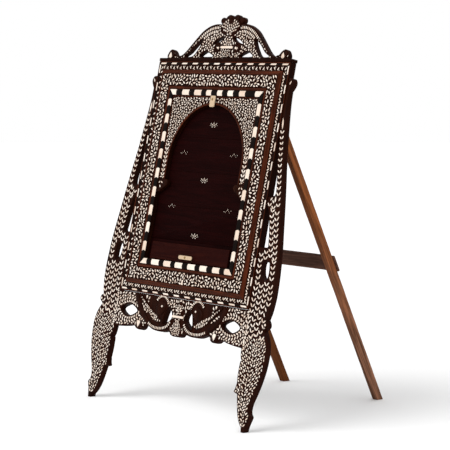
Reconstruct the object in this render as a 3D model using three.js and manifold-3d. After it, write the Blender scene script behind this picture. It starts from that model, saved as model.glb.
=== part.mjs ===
// A folding easel-shaped Quran stand: a leaning inlaid frame with a shallow arched niche, carved
// side boards, cabriole front legs, a pierced crest and apron, and two plain rear struts that
// swing on butt hinges. Millimetres, +Z up, the front of the stand faces -Y.
import * as THREE from 'three';
import { mergeVertices } from 'three/addons/utils/BufferGeometryUtils.js';
import Module from 'manifold-3d';

const wasm = await Module();
wasm.setup();

// ---------------------------------------------------------------- driving dimensions
const gap = 0.3; // clearance kept between neighbouring pieces
const lean = THREE.MathUtils.degToRad(12.7); // the front leans back by this angle
const strutAngle = THREE.MathUtils.degToRad(25); // rear struts from the vertical, opened
const caseHalfWidth = 255;
const caseLength = 587; // along the lean
const caseDepth = 18;
const caseLift = 274.5; // height of the case's bottom front edge above the floor

// Bands of the case, as distances in from its outer edge.
const borderStart = 21.5;
const floralStart = 32;
const floralEnd = 63.5;
const beadEnd = 71.7;
const filletEnd = 87.2;
const borderRise = 6.5;
const beadRise = 5;
const filletRise = 6.3;
const lipStart = 81; // the rabbet for the backboard starts here
const lipDepth = 6;

const archFront = 4.5; // front of the arch panel, from the case's front
const plankFront = -lipDepth - gap;
const plankDepth = 7.5;
const plankJoints = [139.5, 225.5, 311.5, 397.5]; // heights of the seams between the planks
const archHalfWidth = 143.5;
const archSpring = 335; // the semicircle's centre
const panelFoot = 288; // bottom of the arch panel's side strips

const ledge = { halfWidth: 152, bottom: 88, top: 132, front: 1 };
const button = { front: 11.5, thickness: 3.5, pinRadius: 1.8 };
const topButton = { width: 18, up: 9, down: 19, pivot: 491 };
const bottomButton = { halfLength: 26, halfWidth: 4.8, pivot: 99.5 };

const plinth = { halfWidth: 256.5, height: 8, overhang: 1.5 };
const crestFront = -6;
const crestBase = caseLength + plinth.height + 2 * gap;
const shell = { seat: 667, halfWidth: 36, front: -9, back: -21 };

const sideBoard = { front: -1.3, depth: 15, legTop: -42 };
const strut = { x: 180, width: 17.5, depth: 20, taper: 2, hinge: 478 };
const crossRail = { halfLength: 191, height: 42, thickness: 6, below: 434 };
const hinge = { knuckle: 2.6, standOff: 3, width: 12, leafLength: 33, leafThickness: 1.1, pin: 1.1 };
const hingeScrews = [-12, -27]; // distances from the pin along each leaf
const screw = { head: 2.1, headHeight: 0.5, shank: 1.1, length: 8 };
const railScrew = { head: 3.2, headHeight: 1.4, shank: 1.7, length: 16 };

// ---------------------------------------------------------------- materials
function material(color, roughness, metalness = 0) {
  return new THREE.MeshStandardMaterial({ color, roughness, metalness });
}

const rosewood = material(0x46241a, 0.4);
const ebony = material(0x17100e, 0.35);
const maroon = material(0x2a0e0d, 0.5);
const bone = material(0xe8d8be, 0.45);
const teak = material(0x9a5b30, 0.6);
const agedRail = material(0x56403a, 0.7);
const iron = material(0x3c3632, 0.55, 0.8);
const brass = material(0x8c6e3c, 0.4, 0.9);

// ---------------------------------------------------------------- solids
function toSolid(geometry) {
  const bare = geometry.index ? geometry.toNonIndexed() : geometry.clone();
  bare.deleteAttribute('normal');
  bare.deleteAttribute('uv');
  const merged = mergeVertices(bare, 1e-4);
  return new wasm.Manifold(new wasm.Mesh({
    numProp: 3,
    vertProperties: Float32Array.from(merged.attributes.position.array),
    triVerts: Uint32Array.from(merged.index.array),
  }));
}

function fromSolid(solid) {
  const mesh = solid.getMesh();
  const geometry = new THREE.BufferGeometry();
  geometry.setAttribute('position', new THREE.Float32BufferAttribute(mesh.vertProperties, 3));
  geometry.setIndex(Array.from(mesh.triVerts));
  geometry.computeVertexNormals();
  return geometry;
}

function cut(geometry, ...tools) {
  const solid = tools.reduce((rest, tool) => rest.subtract(toSolid(tool)), toSolid(geometry));
  return fromSolid(solid);
}

function join(geometry, ...others) {
  const solid = others.reduce((whole, other) => whole.add(toSolid(other)), toSolid(geometry));
  return fromSolid(solid);
}

// A board cut to an outline in the local XY plane, from z = back to z = front. Rims run
// anticlockwise and holes clockwise, so that mirrored outlines extrude the same way.
function board(shape, back, front, curveSegments = 2) {
  const { shape: rim, holes } = shape.extractPoints(curveSegments);
  const turned = (points, clockwise) => (
    THREE.ShapeUtils.isClockWise(points) === clockwise ? points : [...points].reverse());
  const flat = new THREE.Shape(turned(rim, false));
  flat.holes = holes.map((hole) => new THREE.Path(turned(hole, true)));
  const options = { depth: front - back, bevelEnabled: false };
  return new THREE.ExtrudeGeometry(flat, options).translate(0, 0, back);
}

function block(x0, x1, y0, y1, z0, z1) {
  const geometry = new THREE.BoxGeometry(x1 - x0, y1 - y0, z1 - z0);
  return geometry.translate((x0 + x1) / 2, (y0 + y1) / 2, (z0 + z1) / 2);
}

// A rod along local Z.
function rod(radius, x, y, z0, z1, sides = 12) {
  const geometry = new THREE.CylinderGeometry(radius, radius, z1 - z0, sides);
  return geometry.rotateX(Math.PI / 2).translate(x, y, (z0 + z1) / 2);
}

function circlePath(x, y, radius) {
  return new THREE.Path().absarc(x, y, radius, 0, 2 * Math.PI, true);
}

// A closed outline through straight and smooth runs: each run is a list of [x, y] points, drawn as
// a spline when it holds three or more. side = -1 gives the mirror image.
function outline(runs, side = 1) {
  const point = ([x, y]) => new THREE.Vector2(x * side, y);
  const shape = new THREE.Shape();
  runs.forEach((run, index) => {
    const points = run.map(point);
    if (index === 0) {
      shape.moveTo(points[0].x, points[0].y);
      points.shift();
    }
    if (points.length > 2) {
      shape.splineThru(points);
    } else {
      points.forEach((p) => shape.lineTo(p.x, p.y));
    }
  });
  shape.closePath();
  return shape;
}

// The same runs on the other side, in the order that continues a symmetric outline.
function mirrored(runs) {
  return runs.map((run) => run.map(([x, y]) => [-x, y]).reverse()).reverse();
}

// A smooth closed hole through [x, y] points.
function smoothHole(points, side = 1) {
  const curve = new THREE.CatmullRomCurve3(
    points.map(([x, y]) => new THREE.Vector3(x * side, y, 0)),
    true,
    'catmullrom',
    0.5,
  );
  const around = curve.getPoints(points.length * 2);
  around.pop();
  return new THREE.Path(around.map((p) => new THREE.Vector2(p.x, p.y)));
}

// A length of moulding with 45 degree mitres. The profile's x is the distance in from the frame's
// outer edge and its y is the height above the frame's front.
function mitredBar(profile, halfLength) {
  const shape = new THREE.Shape(profile.map(([x, y]) => new THREE.Vector2(x, y)));
  const geometry = new THREE.ExtrudeGeometry(shape, { depth: 1, bevelEnabled: false });
  const place = geometry.attributes.position;
  for (let i = 0; i < place.count; i += 1) {
    const inward = place.getX(i);
    const height = place.getY(i);
    const end = place.getZ(i) > 0.5 ? 1 : -1;
    place.setXYZ(i, end * (halfLength - inward - gap), inward, height);
  }
  geometry.computeVertexNormals();
  return geometry;
}

// ---------------------------------------------------------------- scene graph
const stand = new THREE.Group();

const front = new THREE.Group(); // x across, y up the lean, z out of the front
front.position.set(0, 0, caseLift);
front.rotation.x = Math.PI / 2 - lean;
stand.add(front);

const rear = new THREE.Group(); // x across, y up the strut, z towards the case, origin on the pin
rear.position.set(0, strut.hinge, -caseDepth - hinge.standOff)
  .applyAxisAngle(new THREE.Vector3(1, 0, 0), front.rotation.x)
  .add(front.position);
rear.rotation.x = Math.PI / 2 + strutAngle;
stand.add(rear);

const fold = new THREE.Group(); // the fixed half of the hinges, origin on the pin
fold.position.set(0, strut.hinge, -caseDepth - hinge.standOff);
front.add(fold);
stand.updateMatrixWorld(true);

function addPiece(parent, name, geometry, finish) {
  const mesh = new THREE.Mesh(geometry, finish);
  mesh.name = name;
  parent.add(mesh);
  return mesh;
}

// Takes everything below the floor off a piece that is drawn in a group's own axes.
function trimAtFloor(geometry, group) {
  const placed = geometry.clone().applyMatrix4(group.matrixWorld);
  const ground = block(-600, 600, -600, 900, -300, 0);
  return cut(placed, ground).applyMatrix4(group.matrixWorld.clone().invert());
}

// ---------------------------------------------------------------- case and mouldings
const caseProfile = [
  [0, 0],
  [0, -caseDepth],
  [lipStart, -caseDepth],
  [lipStart, -lipDepth],
  [filletEnd, -lipDepth],
  [filletEnd, 0],
];
const floralProfile = [
  [borderStart, gap],
  [borderStart, 1.6],
  [borderStart + 4, 2.6],
  [floralStart - 2, 5.2],
  [floralStart, borderRise],
  [floralEnd, borderRise],
  [floralEnd + 0.5, beadRise - 1.5],
  [floralEnd + 2.5, beadRise],
  [beadEnd - 2.5, beadRise],
  [beadEnd - gap, beadRise - 1.5],
  [beadEnd - gap, gap],
];
const filletProfile = [
  [beadEnd, gap],
  [beadEnd, filletRise],
  [filletEnd - gap, filletRise],
  [filletEnd - gap, gap],
];

const halfLength = caseLength / 2;
const quarter = Math.PI / 2;
const frameSides = [
  { side: 'bottom', member: 'rail', x: 0, y: 0, turn: 0, half: caseHalfWidth },
  { side: 'top', member: 'rail', x: 0, y: caseLength, turn: 2 * quarter, half: caseHalfWidth },
  { side: 'left', member: 'stile', x: -caseHalfWidth, y: halfLength, turn: -quarter, half: halfLength },
  { side: 'right', member: 'stile', x: caseHalfWidth, y: halfLength, turn: quarter, half: halfLength },
];

function addFrameBar({ side, x, y, turn, half }, name, profile, finish, bores) {
  let geometry = mitredBar(profile, half).rotateZ(turn).translate(x, y, 0);
  if (bores && x !== 0) {
    geometry = cut(geometry, ...bores(Math.sign(x)));
  }
  addPiece(front, `${name}_${side}`, geometry, finish);
}

function caseScrewBores(side) {
  const back = -caseDepth;
  return hingeScrews.map((along) => (
    rod(screw.shank + gap, side * strut.x, strut.hinge + along, back - 1, back + screw.length)));
}

frameSides.forEach((place) => {
  addFrameBar(place, `case_${place.member}`, caseProfile, rosewood, caseScrewBores);
  addFrameBar(place, 'floral_border', floralProfile, rosewood);
  addFrameBar(place, 'chequer_fillet', filletProfile, ebony);
});

// ---------------------------------------------------------------- niche
const innerX = caseHalfWidth - filletEnd;
const innerTop = caseLength - filletEnd;

function addArchPanel() {
  const x = innerX - gap;
  const shape = new THREE.Shape();
  shape.moveTo(-x, panelFoot);
  shape.lineTo(-archHalfWidth, panelFoot);
  shape.lineTo(-archHalfWidth, archSpring);
  shape.absarc(0, archSpring, archHalfWidth, Math.PI, 0, true);
  shape.lineTo(archHalfWidth, panelFoot);
  shape.lineTo(x, panelFoot);
  shape.lineTo(x, innerTop - gap);
  shape.lineTo(-x, innerTop - gap);
  shape.closePath();
  shape.holes.push(circlePath(0, topButton.pivot, button.pinRadius + gap));
  addPiece(front, 'arch_panel', board(shape, -lipDepth + gap, archFront, 10), rosewood);
}

// A small carved capital under each foot of the arch.
function addCorbel(name, side) {
  const top = panelFoot - gap;
  const wall = innerX - gap;
  const shape = outline([
    [[wall, top], [136, top]],
    [[131, top - 3], [129, top - 8], [132, top - 14], [140, top - 19]],
    [[150, top - 25], [158, top - 31], [wall, top - 33]],
  ], side);
  addPiece(front, name, board(shape, -lipDepth + gap, archFront + 2), rosewood);
}

function addPlanks() {
  const halfWidth = caseHalfWidth - lipStart - gap;
  const seams = [lipStart, ...plankJoints, caseLength - lipStart];
  for (let i = 0; i + 1 < seams.length; i += 1) {
    const plank = block(
      -halfWidth,
      halfWidth,
      seams[i] + gap,
      seams[i + 1],
      plankFront - plankDepth,
      plankFront,
    );
    addPiece(front, `backboard_plank_${i + 1}`, plank, maroon);
  }
}

function addLedge() {
  const { halfWidth, bottom, top, front: face } = ledge;
  const solid = block(-halfWidth, halfWidth, bottom, top, -lipDepth + gap, face);
  const bore = rod(button.pinRadius + gap, 0, bottomButton.pivot, -lipDepth, face + 1);
  addPiece(front, 'ledge_board', cut(solid, bore), maroon);
}

// A bone turn-button that swings on its pin just above the fillet.
function addButton(name, shape, pivot) {
  shape.holes.push(circlePath(0, pivot, button.pinRadius + gap));
  const back = button.front - button.thickness;
  addPiece(front, name, board(shape, back, button.front, 4), bone);
}

function addButtonPin(name, pivot) {
  const { pinRadius, front: face } = button;
  const profile = [
    [0, -lipDepth + 2 * gap],
    [pinRadius, -lipDepth + 2 * gap],
    [pinRadius, face + gap],
    [3.2, face + gap],
    [2.4, face + 1.3],
    [0, face + 1.6],
  ].map(([x, y]) => new THREE.Vector2(x, y));
  const geometry = new THREE.LatheGeometry(profile, 12).rotateX(Math.PI / 2);
  addPiece(front, name, geometry.translate(0, pivot, 0), brass);
}

// A rectangle with its corners cut off.
function plateOutline(x, bottom, top, corner) {
  return outline([
    [[-x, bottom + corner], [-x + corner, bottom]],
    [[x - corner, bottom], [x, bottom + corner]],
    [[x, top - corner], [x - corner, top]],
    [[-x + corner, top], [-x, top - corner]],
  ]);
}

function addTurnButtons() {
  const { width, up, down, pivot } = topButton;
  addButton('top_turn_button', plateOutline(width / 2, pivot - down, pivot + up, 2), pivot);
  addButtonPin('top_button_pin', pivot);

  const { halfLength, halfWidth, pivot: low } = bottomButton;
  const lowPlate = plateOutline(halfLength, low - halfWidth, low + halfWidth, 3);
  addButton('bottom_turn_button', lowPlate, low);
  addButtonPin('bottom_button_pin', low);
}

addArchPanel();
addCorbel('corbel_left', -1);
addCorbel('corbel_right', 1);
addPlanks();
addLedge();
addTurnButtons();

// ---------------------------------------------------------------- crest
function addPlinth() {
  const { halfWidth, height, overhang } = plinth;
  const base = caseLength + gap;
  const solid = block(-halfWidth, halfWidth, base, base + height, -caseDepth - overhang, overhang);
  addPiece(front, 'crest_plinth', solid, rosewood);
}

// The right half of the crest's upper edge: the corner knob, then the sweep up to the shell.
const crestKnob = [[236, 604], [229, 615], [219, 619], [208, 614], [199, 605]];
const crestSweep = [[185, 602], [172, 606], [158, 616], [142, 631], [124, 648], [104, 665],
  [80, 677], [58, 682], [40, 682]];
const crestHoles = [
  [[163, 601], [146, 611], [126, 629], [106, 643], [101, 640], [112, 622], [132, 602]],
  [[100, 601], [92, 609], [80, 613], [66, 609], [52, 601]],
  [[57, 633], [44, 642], [26, 648], [17, 648], [28, 640], [42, 635]],
];

function addCrest() {
  const base = crestBase;
  const seat = shell.halfWidth;
  const [leftSweep, leftKnob] = mirrored([crestKnob, crestSweep]);
  const shape = outline([
    [[0, base], [235, base]],
    crestKnob,
    crestSweep,
    [[seat, shell.seat], [-seat, shell.seat]],
    leftSweep.slice(0, 1),
    leftSweep.slice(1),
    leftKnob,
    [[-235, base]],
  ]);
  crestHoles.forEach((hole) => {
    shape.holes.push(smoothHole(hole), smoothHole(hole, -1));
  });
  addPiece(front, 'crest', board(shape, -caseDepth, crestFront), rosewood);
}

// The lobed shell that stands on the crest's middle.
function addShell() {
  const seat = shell.seat + gap;
  const shape = new THREE.Shape();
  shape.moveTo(-shell.halfWidth + 0.5, seat);
  shape.lineTo(shell.halfWidth - 0.5, seat);
  shape.lineTo(37, 681);
  shape.absarc(37, 691, 8.5, -1.3, 2.4, false);
  shape.absarc(14, 693, 13, 0.35, 2.8, false);
  shape.absarc(-14, 693, 13, 0.35, 2.8, false);
  shape.absarc(-37, 691, 8.5, 0.742, 4.442, false);
  shape.lineTo(-37, 681);
  shape.closePath();
  addPiece(front, 'crest_shell', board(shape, shell.back, shell.front, 4), rosewood);
}

addPlinth();
addCrest();
addShell();

// ---------------------------------------------------------------- side boards, legs and apron
const wall = caseHalfWidth + gap;
const sideBoardRuns = [
  [[322, -41], [330, -34], [331, -28], [328, -22], [323, -16]],
  [[328, 0], [332, 26], [333, 50], [331, 90], [326, 138], [316, 195], [302, 274], [283, 370],
    [267, 475], [264, 518]],
  [[270, 526], [274.5, 537], [270, 547], [263, 549.5]],
  [[wall, 549.5], [wall, 412]],
  [[262, 395], [266, 355], [272, 325], [279.5, 284], [278, 272]],
  [[271, 268], [wall, 267]],
  [[wall, 247], [262, 240]],
  [[269, 228], [275, 205], [281, 176], [285, 152]],
  [[282, 148], [wall, 148]],
  [[wall, -2], [252, -41]],
];
const slot = [[296, 72], [303, 84], [302, 104], [297, 117], [280, 117], [276, 104], [281, 84]];

function addSideBoard(name, side) {
  const shape = outline(sideBoardRuns, side);
  shape.holes.push(smoothHole(slot, side));
  const { front: face, depth } = sideBoard;
  addPiece(front, name, board(shape, face - depth, face), rosewood);
}

const legRuns = [
  [[252, sideBoard.legTop], [321, sideBoard.legTop]],
  [[334, -60], [342, -84], [343, -105], [341, -130], [335, -158], [326, -186], [316, -212],
    [314, -228]],
  [[317, -236], [322.5, -242], [320, -251], [315, -266], [311, -290]],
  [[303, -290], [298, -270]],
  [[290, -262], [280, -246], [273, -226], [268, -208], [265.5, -197]],
  [[252, -193], [255, -185], [258, -172]],
  [[256, -150], [256.5, -124], [259.5, -119]],
  [[255, -110], [252.5, -96], [252, -84]],
];

function addLeg(name, side) {
  const { front: face, depth } = sideBoard;
  const geometry = board(outline(legRuns, side), face - depth, face);
  addPiece(front, name, trimAtFloor(geometry, front), rosewood);
}

// The right half of the apron's lower edge, from the centre outwards.
const apronEnd = 250;
const apronEdge = [
  [[12, -92.5], [21, -90], [24, -86]],
  [[32, -82], [52, -86], [72, -87], [94, -85], [112, -79], [122, -76]],
  [[130, -79], [134, -86], [142, -90.5], [152, -91], [162, -89], [169, -84]],
  [[180, -82], [198, -86], [222, -89], [apronEnd, -91]],
];
const eyeHole = [[168, -46], [184, -36], [202, -32], [220, -36], [236, -46], [220, -57],
  [202, -60.5], [184, -56]];
const crescentHole = [[35, -27], [46, -28], [54, -42], [58, -68], [42, -62], [26, -48]];

function addApron() {
  const top = -2 * gap;
  const shape = outline([
    [[0, -93]],
    ...apronEdge,
    [[apronEnd, top], [-apronEnd, top]],
    [[-apronEnd, -91]],
    ...mirrored(apronEdge),
  ]);
  [-1, 1].forEach((side) => {
    shape.holes.push(smoothHole(eyeHole, side), smoothHole(crescentHole, side));
  });
  const { front: face, depth } = sideBoard;
  addPiece(front, 'apron', board(shape, face - depth, face), rosewood);
}

addSideBoard('side_board_left', -1);
addSideBoard('side_board_right', 1);
addLeg('front_leg_left', -1);
addLeg('front_leg_right', 1);
addApron();

// ---------------------------------------------------------------- rear struts and cross rail
const strutBack = hinge.standOff + strut.depth;

// The strut from the side, as distances behind and above the pin. Its top is cut to lie flat on
// the case's back when the stand is open, and its front tapers towards the foot.
function strutProfile() {
  const opening = lean + strutAngle;
  const reach = hinge.standOff - gap;
  const topAt = (behind) => (reach + behind * Math.cos(opening)) / Math.sin(opening);
  const foot = -rear.position.z / Math.cos(strutAngle) - 40;
  return outline([
    [[hinge.standOff, topAt(hinge.standOff)], [strutBack, topAt(strutBack)]],
    [[strutBack, foot], [hinge.standOff + strut.taper, foot]],
  ]);
}

function railScrewPlaces() {
  const rise = crossRail.height / 4;
  return [-1, 1].flatMap((side) => [rise, -rise].map((up) => ({
    x: side * strut.x,
    y: up - crossRail.below,
  })));
}

function addStrut(name, side) {
  const { width } = strut;
  const bar = board(strutProfile(), -width / 2, width / 2)
    .rotateY(Math.PI / 2)
    .translate(side * strut.x, 0, 0);
  const face = -hinge.standOff;
  const hingeBores = hingeScrews.map((along) => (
    rod(screw.shank + gap, side * strut.x, along, face - screw.length, face + 1)));
  const railBores = railScrewPlaces()
    .filter(({ x }) => x * side > 0)
    .map(({ x, y }) => rod(railScrew.shank + gap, x, y, -strutBack - 1, -strutBack + 11));
  addPiece(rear, name, trimAtFloor(cut(bar, ...hingeBores, ...railBores), rear), teak);
}

function addCrossRail() {
  const { halfLength, height, thickness, below } = crossRail;
  const face = -strutBack - gap;
  const bar = block(
    -halfLength,
    halfLength,
    -below - height / 2,
    -below + height / 2,
    face - thickness,
    face,
  );
  const bores = railScrewPlaces().map(({ x, y }) => (
    rod(railScrew.shank + gap, x, y, face - thickness - 1, face + 1)));
  addPiece(rear, 'strut_cross_rail', cut(bar, ...bores), agedRail);
}

// A wood screw along local Z, its head at z = 0 and its point in the direction given.
function screwBody({ head, headHeight, shank, length }, direction) {
  const profile = [
    [0, 0],
    [head * 0.65, 0],
    [head, headHeight],
    [shank, headHeight],
    [shank, length - shank],
    [0, length],
  ].map(([x, y]) => new THREE.Vector2(x, y));
  return new THREE.LatheGeometry(profile, 10).rotateX(direction * Math.PI / 2);
}

function addRailScrews() {
  const back = -strutBack - crossRail.thickness - 2 * gap - railScrew.headHeight;
  railScrewPlaces().forEach(({ x, y }, index) => {
    const body = screwBody(railScrew, 1).translate(x, y, back);
    addPiece(rear, `rail_screw_${index + 1}`, body, iron);
  });
}

// ---------------------------------------------------------------- hinges
const knuckleEnds = [-6, -2.4, -2.1, 2.1, 2.4, 6]; // the three knuckles along the pin

function knuckle(x, [from, to]) {
  const ring = new THREE.Shape().absarc(0, 0, hinge.knuckle, 0, 2 * Math.PI, false);
  ring.holes.push(circlePath(0, 0, hinge.pin + gap));
  return board(ring, x + from, x + to, 8).rotateY(Math.PI / 2);
}

// One leaf with its knuckles, drawn from the pin. direction is 1 where the wood is in front of it
// (the case) and -1 where it is behind (the strut).
function leaf(x, direction, segments) {
  const outer = direction * (hinge.standOff - gap);
  const inner = outer - direction * hinge.leafThickness;
  const low = Math.min(inner, outer);
  const high = Math.max(inner, outer);
  const half = hinge.width / 2;
  const plate = block(x - half, x + half, -hinge.leafLength, -3.6, low, high);
  const knuckles = segments.map((ends) => knuckle(x, ends));
  const tabs = segments.map(([from, to]) => block(x + from, x + to, -4, 0, low, high));
  const bores = hingeScrews.map((along) => rod(screw.shank + gap, x, along, low - 1, high + 1));
  return cut(join(plate, ...knuckles, ...tabs), ...bores);
}

function addHingeScrews(group, side, direction, label) {
  const leafFace = hinge.standOff - gap - hinge.leafThickness;
  const headTop = direction * (leafFace - gap - screw.headHeight);
  hingeScrews.forEach((along, index) => {
    const body = screwBody(screw, direction).translate(side * strut.x, along, headTop);
    addPiece(group, `${label}_${index + 1}`, body, iron);
  });
}

function addHinge(name, side) {
  const x = side * strut.x;
  const [a, b, c, d, e, f] = knuckleEnds;
  addPiece(fold, `hinge_case_leaf_${name}`, leaf(x, 1, [[a, b], [e, f]]), iron);
  addPiece(rear, `hinge_strut_leaf_${name}`, leaf(x, -1, [[c, d]]), iron);
  const end = f + 1.6;
  const pinProfile = [
    [0, -end],
    [1.7, -end],
    [1.7, -f - gap],
    [hinge.pin, -f - gap],
    [hinge.pin, f + gap],
    [1.7, f + gap],
    [1.7, end],
    [0, end],
  ].map(([r, y]) => new THREE.Vector2(r, y));
  const pin = new THREE.LatheGeometry(pinProfile, 12).rotateZ(-Math.PI / 2).translate(x, 0, 0);
  addPiece(fold, `hinge_pin_${name}`, pin, iron);
  addHingeScrews(fold, side, 1, `case_hinge_screw_${name}`);
  addHingeScrews(rear, side, -1, `strut_hinge_screw_${name}`);
}

addStrut('rear_strut_left', -1);
addStrut('rear_strut_right', 1);
addCrossRail();
addRailScrews();
addHinge('left', -1);
addHinge('right', 1);

// The origin is under the middle of the stand, on the floor.
const size = new THREE.Box3().setFromObject(stand, true);
const middle = size.getCenter(new THREE.Vector3());
stand.position.set(-middle.x, -middle.y, 0);

export default stand;
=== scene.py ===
"""A folding easel-shaped Quran stand: dark rosewood inlaid with bone, a shallow arched niche in a
leaning case, carved side boards, cabriole legs, a pierced crest and apron, and teak struts."""

import functools
import math
import random

import bmesh
import bpy
import numpy as np
from bpy.props import FloatProperty, FloatVectorProperty, IntProperty, PointerProperty
from mathutils import Matrix, Vector, noise


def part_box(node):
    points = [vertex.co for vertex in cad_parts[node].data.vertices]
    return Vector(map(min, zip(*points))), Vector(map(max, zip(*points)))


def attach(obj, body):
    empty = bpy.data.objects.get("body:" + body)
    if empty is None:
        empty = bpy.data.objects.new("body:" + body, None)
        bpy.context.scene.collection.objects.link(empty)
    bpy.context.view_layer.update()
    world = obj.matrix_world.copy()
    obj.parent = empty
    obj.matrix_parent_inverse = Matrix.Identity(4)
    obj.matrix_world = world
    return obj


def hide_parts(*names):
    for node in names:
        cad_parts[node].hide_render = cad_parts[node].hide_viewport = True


bl_info = {
    "name": "Inlaid Quran stand",
    "version": (1, 0, 0),
    "blender": (4, 5, 0),
    "location": "3D Viewport > Sidebar > Quran Stand",
    "description": "Builds the carved and inlaid looks of a folding Quran stand on its frame",
    "category": "Object",
}

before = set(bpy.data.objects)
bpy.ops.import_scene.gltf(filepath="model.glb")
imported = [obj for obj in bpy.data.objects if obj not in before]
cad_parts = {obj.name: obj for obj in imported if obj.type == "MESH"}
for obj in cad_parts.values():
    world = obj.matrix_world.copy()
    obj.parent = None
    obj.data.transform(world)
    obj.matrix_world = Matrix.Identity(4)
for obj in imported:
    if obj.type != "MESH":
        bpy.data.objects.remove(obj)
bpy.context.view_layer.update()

# ---------------------------------------------------------------- the stand's own measures
MM = 0.001
LEAN = math.radians(12.7)  # the front leans back by this angle
STRUT_ANGLE = math.radians(25.0)  # the struts stand off the vertical by this angle
CASE_HALF = 255.0
CASE_LENGTH = 587.0
CASE_DEPTH = 18.0

# Bands of the case, as distances in from its outer edge, and the levels of their faces.
FLORAL_START, FLORAL_END, FILLET_START, FILLET_WIDTH = 32.0, 63.5, 72.6, 13.6
FLORAL_LEVEL, FILLET_LEVEL, ARCH_LEVEL = 6.5, 6.3, 4.5

# The niche, its planks and the carved boards round the case.
ARCH_HALF, ARCH_SPRING, ARCH_FOOT = 143.5, 335.0, 288.0
PANEL_HALF, PANEL_TOP = 167.5, 499.5
PLANK_LEVEL = -6.3
BOARD_LEVEL, BOARD_DEPTH = -1.3, 15.0
CREST_LEVEL, CREST_BASE, CREST_BACK = -6.0, 595.6, -18.0
SHELL_LEVEL, SHELL_BACK, SHELL_SEAT = -9.0, -21.0, 667.3

FRONT, REAR = "front_frame", "rear_strut_frame"
BOTH_SIDES = (-1, 1)
UP, DOWN = math.radians(90), math.radians(-90)


def leaning_place():
    """Takes millimetres across, up the lean and out of the front to the frame's metres."""
    low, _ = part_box("case_rail_bottom")
    sine, cosine = math.sin(LEAN), math.cos(LEAN)
    origin = (0.0, low.y, low.z + CASE_DEPTH * MM * sine)
    return Matrix((
        (MM, 0, 0, origin[0]),
        (0, sine * MM, -cosine * MM, origin[1]),
        (0, cosine * MM, sine * MM, origin[2]),
        (0, 0, 0, 1),
    ))


def strut_place():
    """Takes millimetres across, up the struts and towards the case to the frame's metres."""
    low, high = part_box("hinge_pin_left")
    pin = (low + high) / 2
    sine, cosine = math.sin(STRUT_ANGLE), math.cos(STRUT_ANGLE)
    return Matrix((
        (MM, 0, 0, 0),
        (0, -sine * MM, -cosine * MM, pin.y),
        (0, cosine * MM, -sine * MM, pin.z),
        (0, 0, 0, 1),
    ))


PANEL = leaning_place()
STRUTS = strut_place()


# ---------------------------------------------------------------- outlines
def smooth_run(points, steps=5):
    """A smooth run through points, from the first to the last."""
    run = []
    for i in range(len(points) - 1):
        a = points[max(i - 1, 0)]
        b, c = points[i], points[i + 1]
        d = points[min(i + 2, len(points) - 1)]
        for k in range(steps):
            t = k / steps
            run.append(tuple(
                b[n]
                + t * (c[n] - a[n]) / 2
                + t * t * (a[n] - 2.5 * b[n] + 2 * c[n] - d[n] / 2)
                + t * t * t * (1.5 * (b[n] - c[n]) + (d[n] - a[n]) / 2)
                for n in (0, 1)))
    run.append(tuple(points[-1]))
    return run


def traced(runs, closest=0.05):
    """An outline through runs of points, smooth where a run holds three or more."""
    path = [tuple(p) for p in runs[0]]
    for run in runs[1:]:
        path.extend(smooth_run([path[-1], *run])[1:] if len(run) > 2 else [tuple(p) for p in run])
    return [p for p, last in zip(path, path[-1:] + path) if math.dist(p, last) > closest]


def smooth_hole(points, steps=5):
    """A smooth closed outline through points."""
    count = len(points)
    run = smooth_run([points[(i - 1) % count] for i in range(count + 3)], steps)
    return run[steps:-steps - 1]


def mirrored(runs):
    """Runs of points on the other side of the middle, still in order round the outline."""
    return [[(-u, v) for u, v in reversed(run)] for run in reversed(runs)]


def flipped(points, side):
    return [(side * u, v) for u, v in points]


def area(points):
    """Positive where the outline runs anticlockwise."""
    ahead = points[1:] + points[:1]
    return sum(a[0] * b[1] - b[0] * a[1] for a, b in zip(points, ahead)) / 2


def turned(points, anticlockwise=True):
    return list(points) if (area(points) > 0) == anticlockwise else list(reversed(points))


def shrunk(points, amount, sharpest=1.6):
    """An anticlockwise outline drawn in by an amount, held back at its sharpest corners."""
    drawn = []
    count = len(points)
    for i in range(count):
        (ax, ay), (bx, by), (cx, cy) = points[i - 1], points[i], points[(i + 1) % count]
        ex, ey, fx, fy = bx - ax, by - ay, cx - bx, cy - by
        e, f = math.hypot(ex, ey) or 1.0, math.hypot(fx, fy) or 1.0
        nx, ny = -(ey / e + fy / f), ex / e + fx / f
        n = math.hypot(nx, ny) or 1.0
        reach = amount * min(2.0 / n, sharpest)
        drawn.append((bx + nx / n * reach, by + ny / n * reach))
    return drawn


def stations(path, pitch, start=0.0, end=0.0):
    """Points with headings, evenly spaced along a path."""
    lengths = [0.0]
    for a, b in zip(path, path[1:]):
        lengths.append(lengths[-1] + math.hypot(b[0] - a[0], b[1] - a[1]))
    span = lengths[-1] - start - end
    count = max(int(round(span / pitch)), 1)
    spots, k = [], 0
    for i in range(count + 1):
        s = start + span * i / count
        while k < len(path) - 2 and lengths[k + 1] < s:
            k += 1
        a, b = path[k], path[k + 1]
        t = (s - lengths[k]) / max(lengths[k + 1] - lengths[k], 1e-6)
        heading = math.atan2(b[1] - a[1], b[0] - a[0])
        spots.append((a[0] + t * (b[0] - a[0]), a[1] + t * (b[1] - a[1]), heading))
    return spots


def beside(path, amount):
    """A path moved to its left by an amount."""
    moved = []
    for i, (x, y) in enumerate(path):
        a, b = path[max(i - 1, 0)], path[min(i + 1, len(path) - 1)]
        dx, dy = b[0] - a[0], b[1] - a[1]
        n = math.hypot(dx, dy) or 1.0
        moved.append((x - dy / n * amount, y + dx / n * amount))
    return moved


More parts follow.
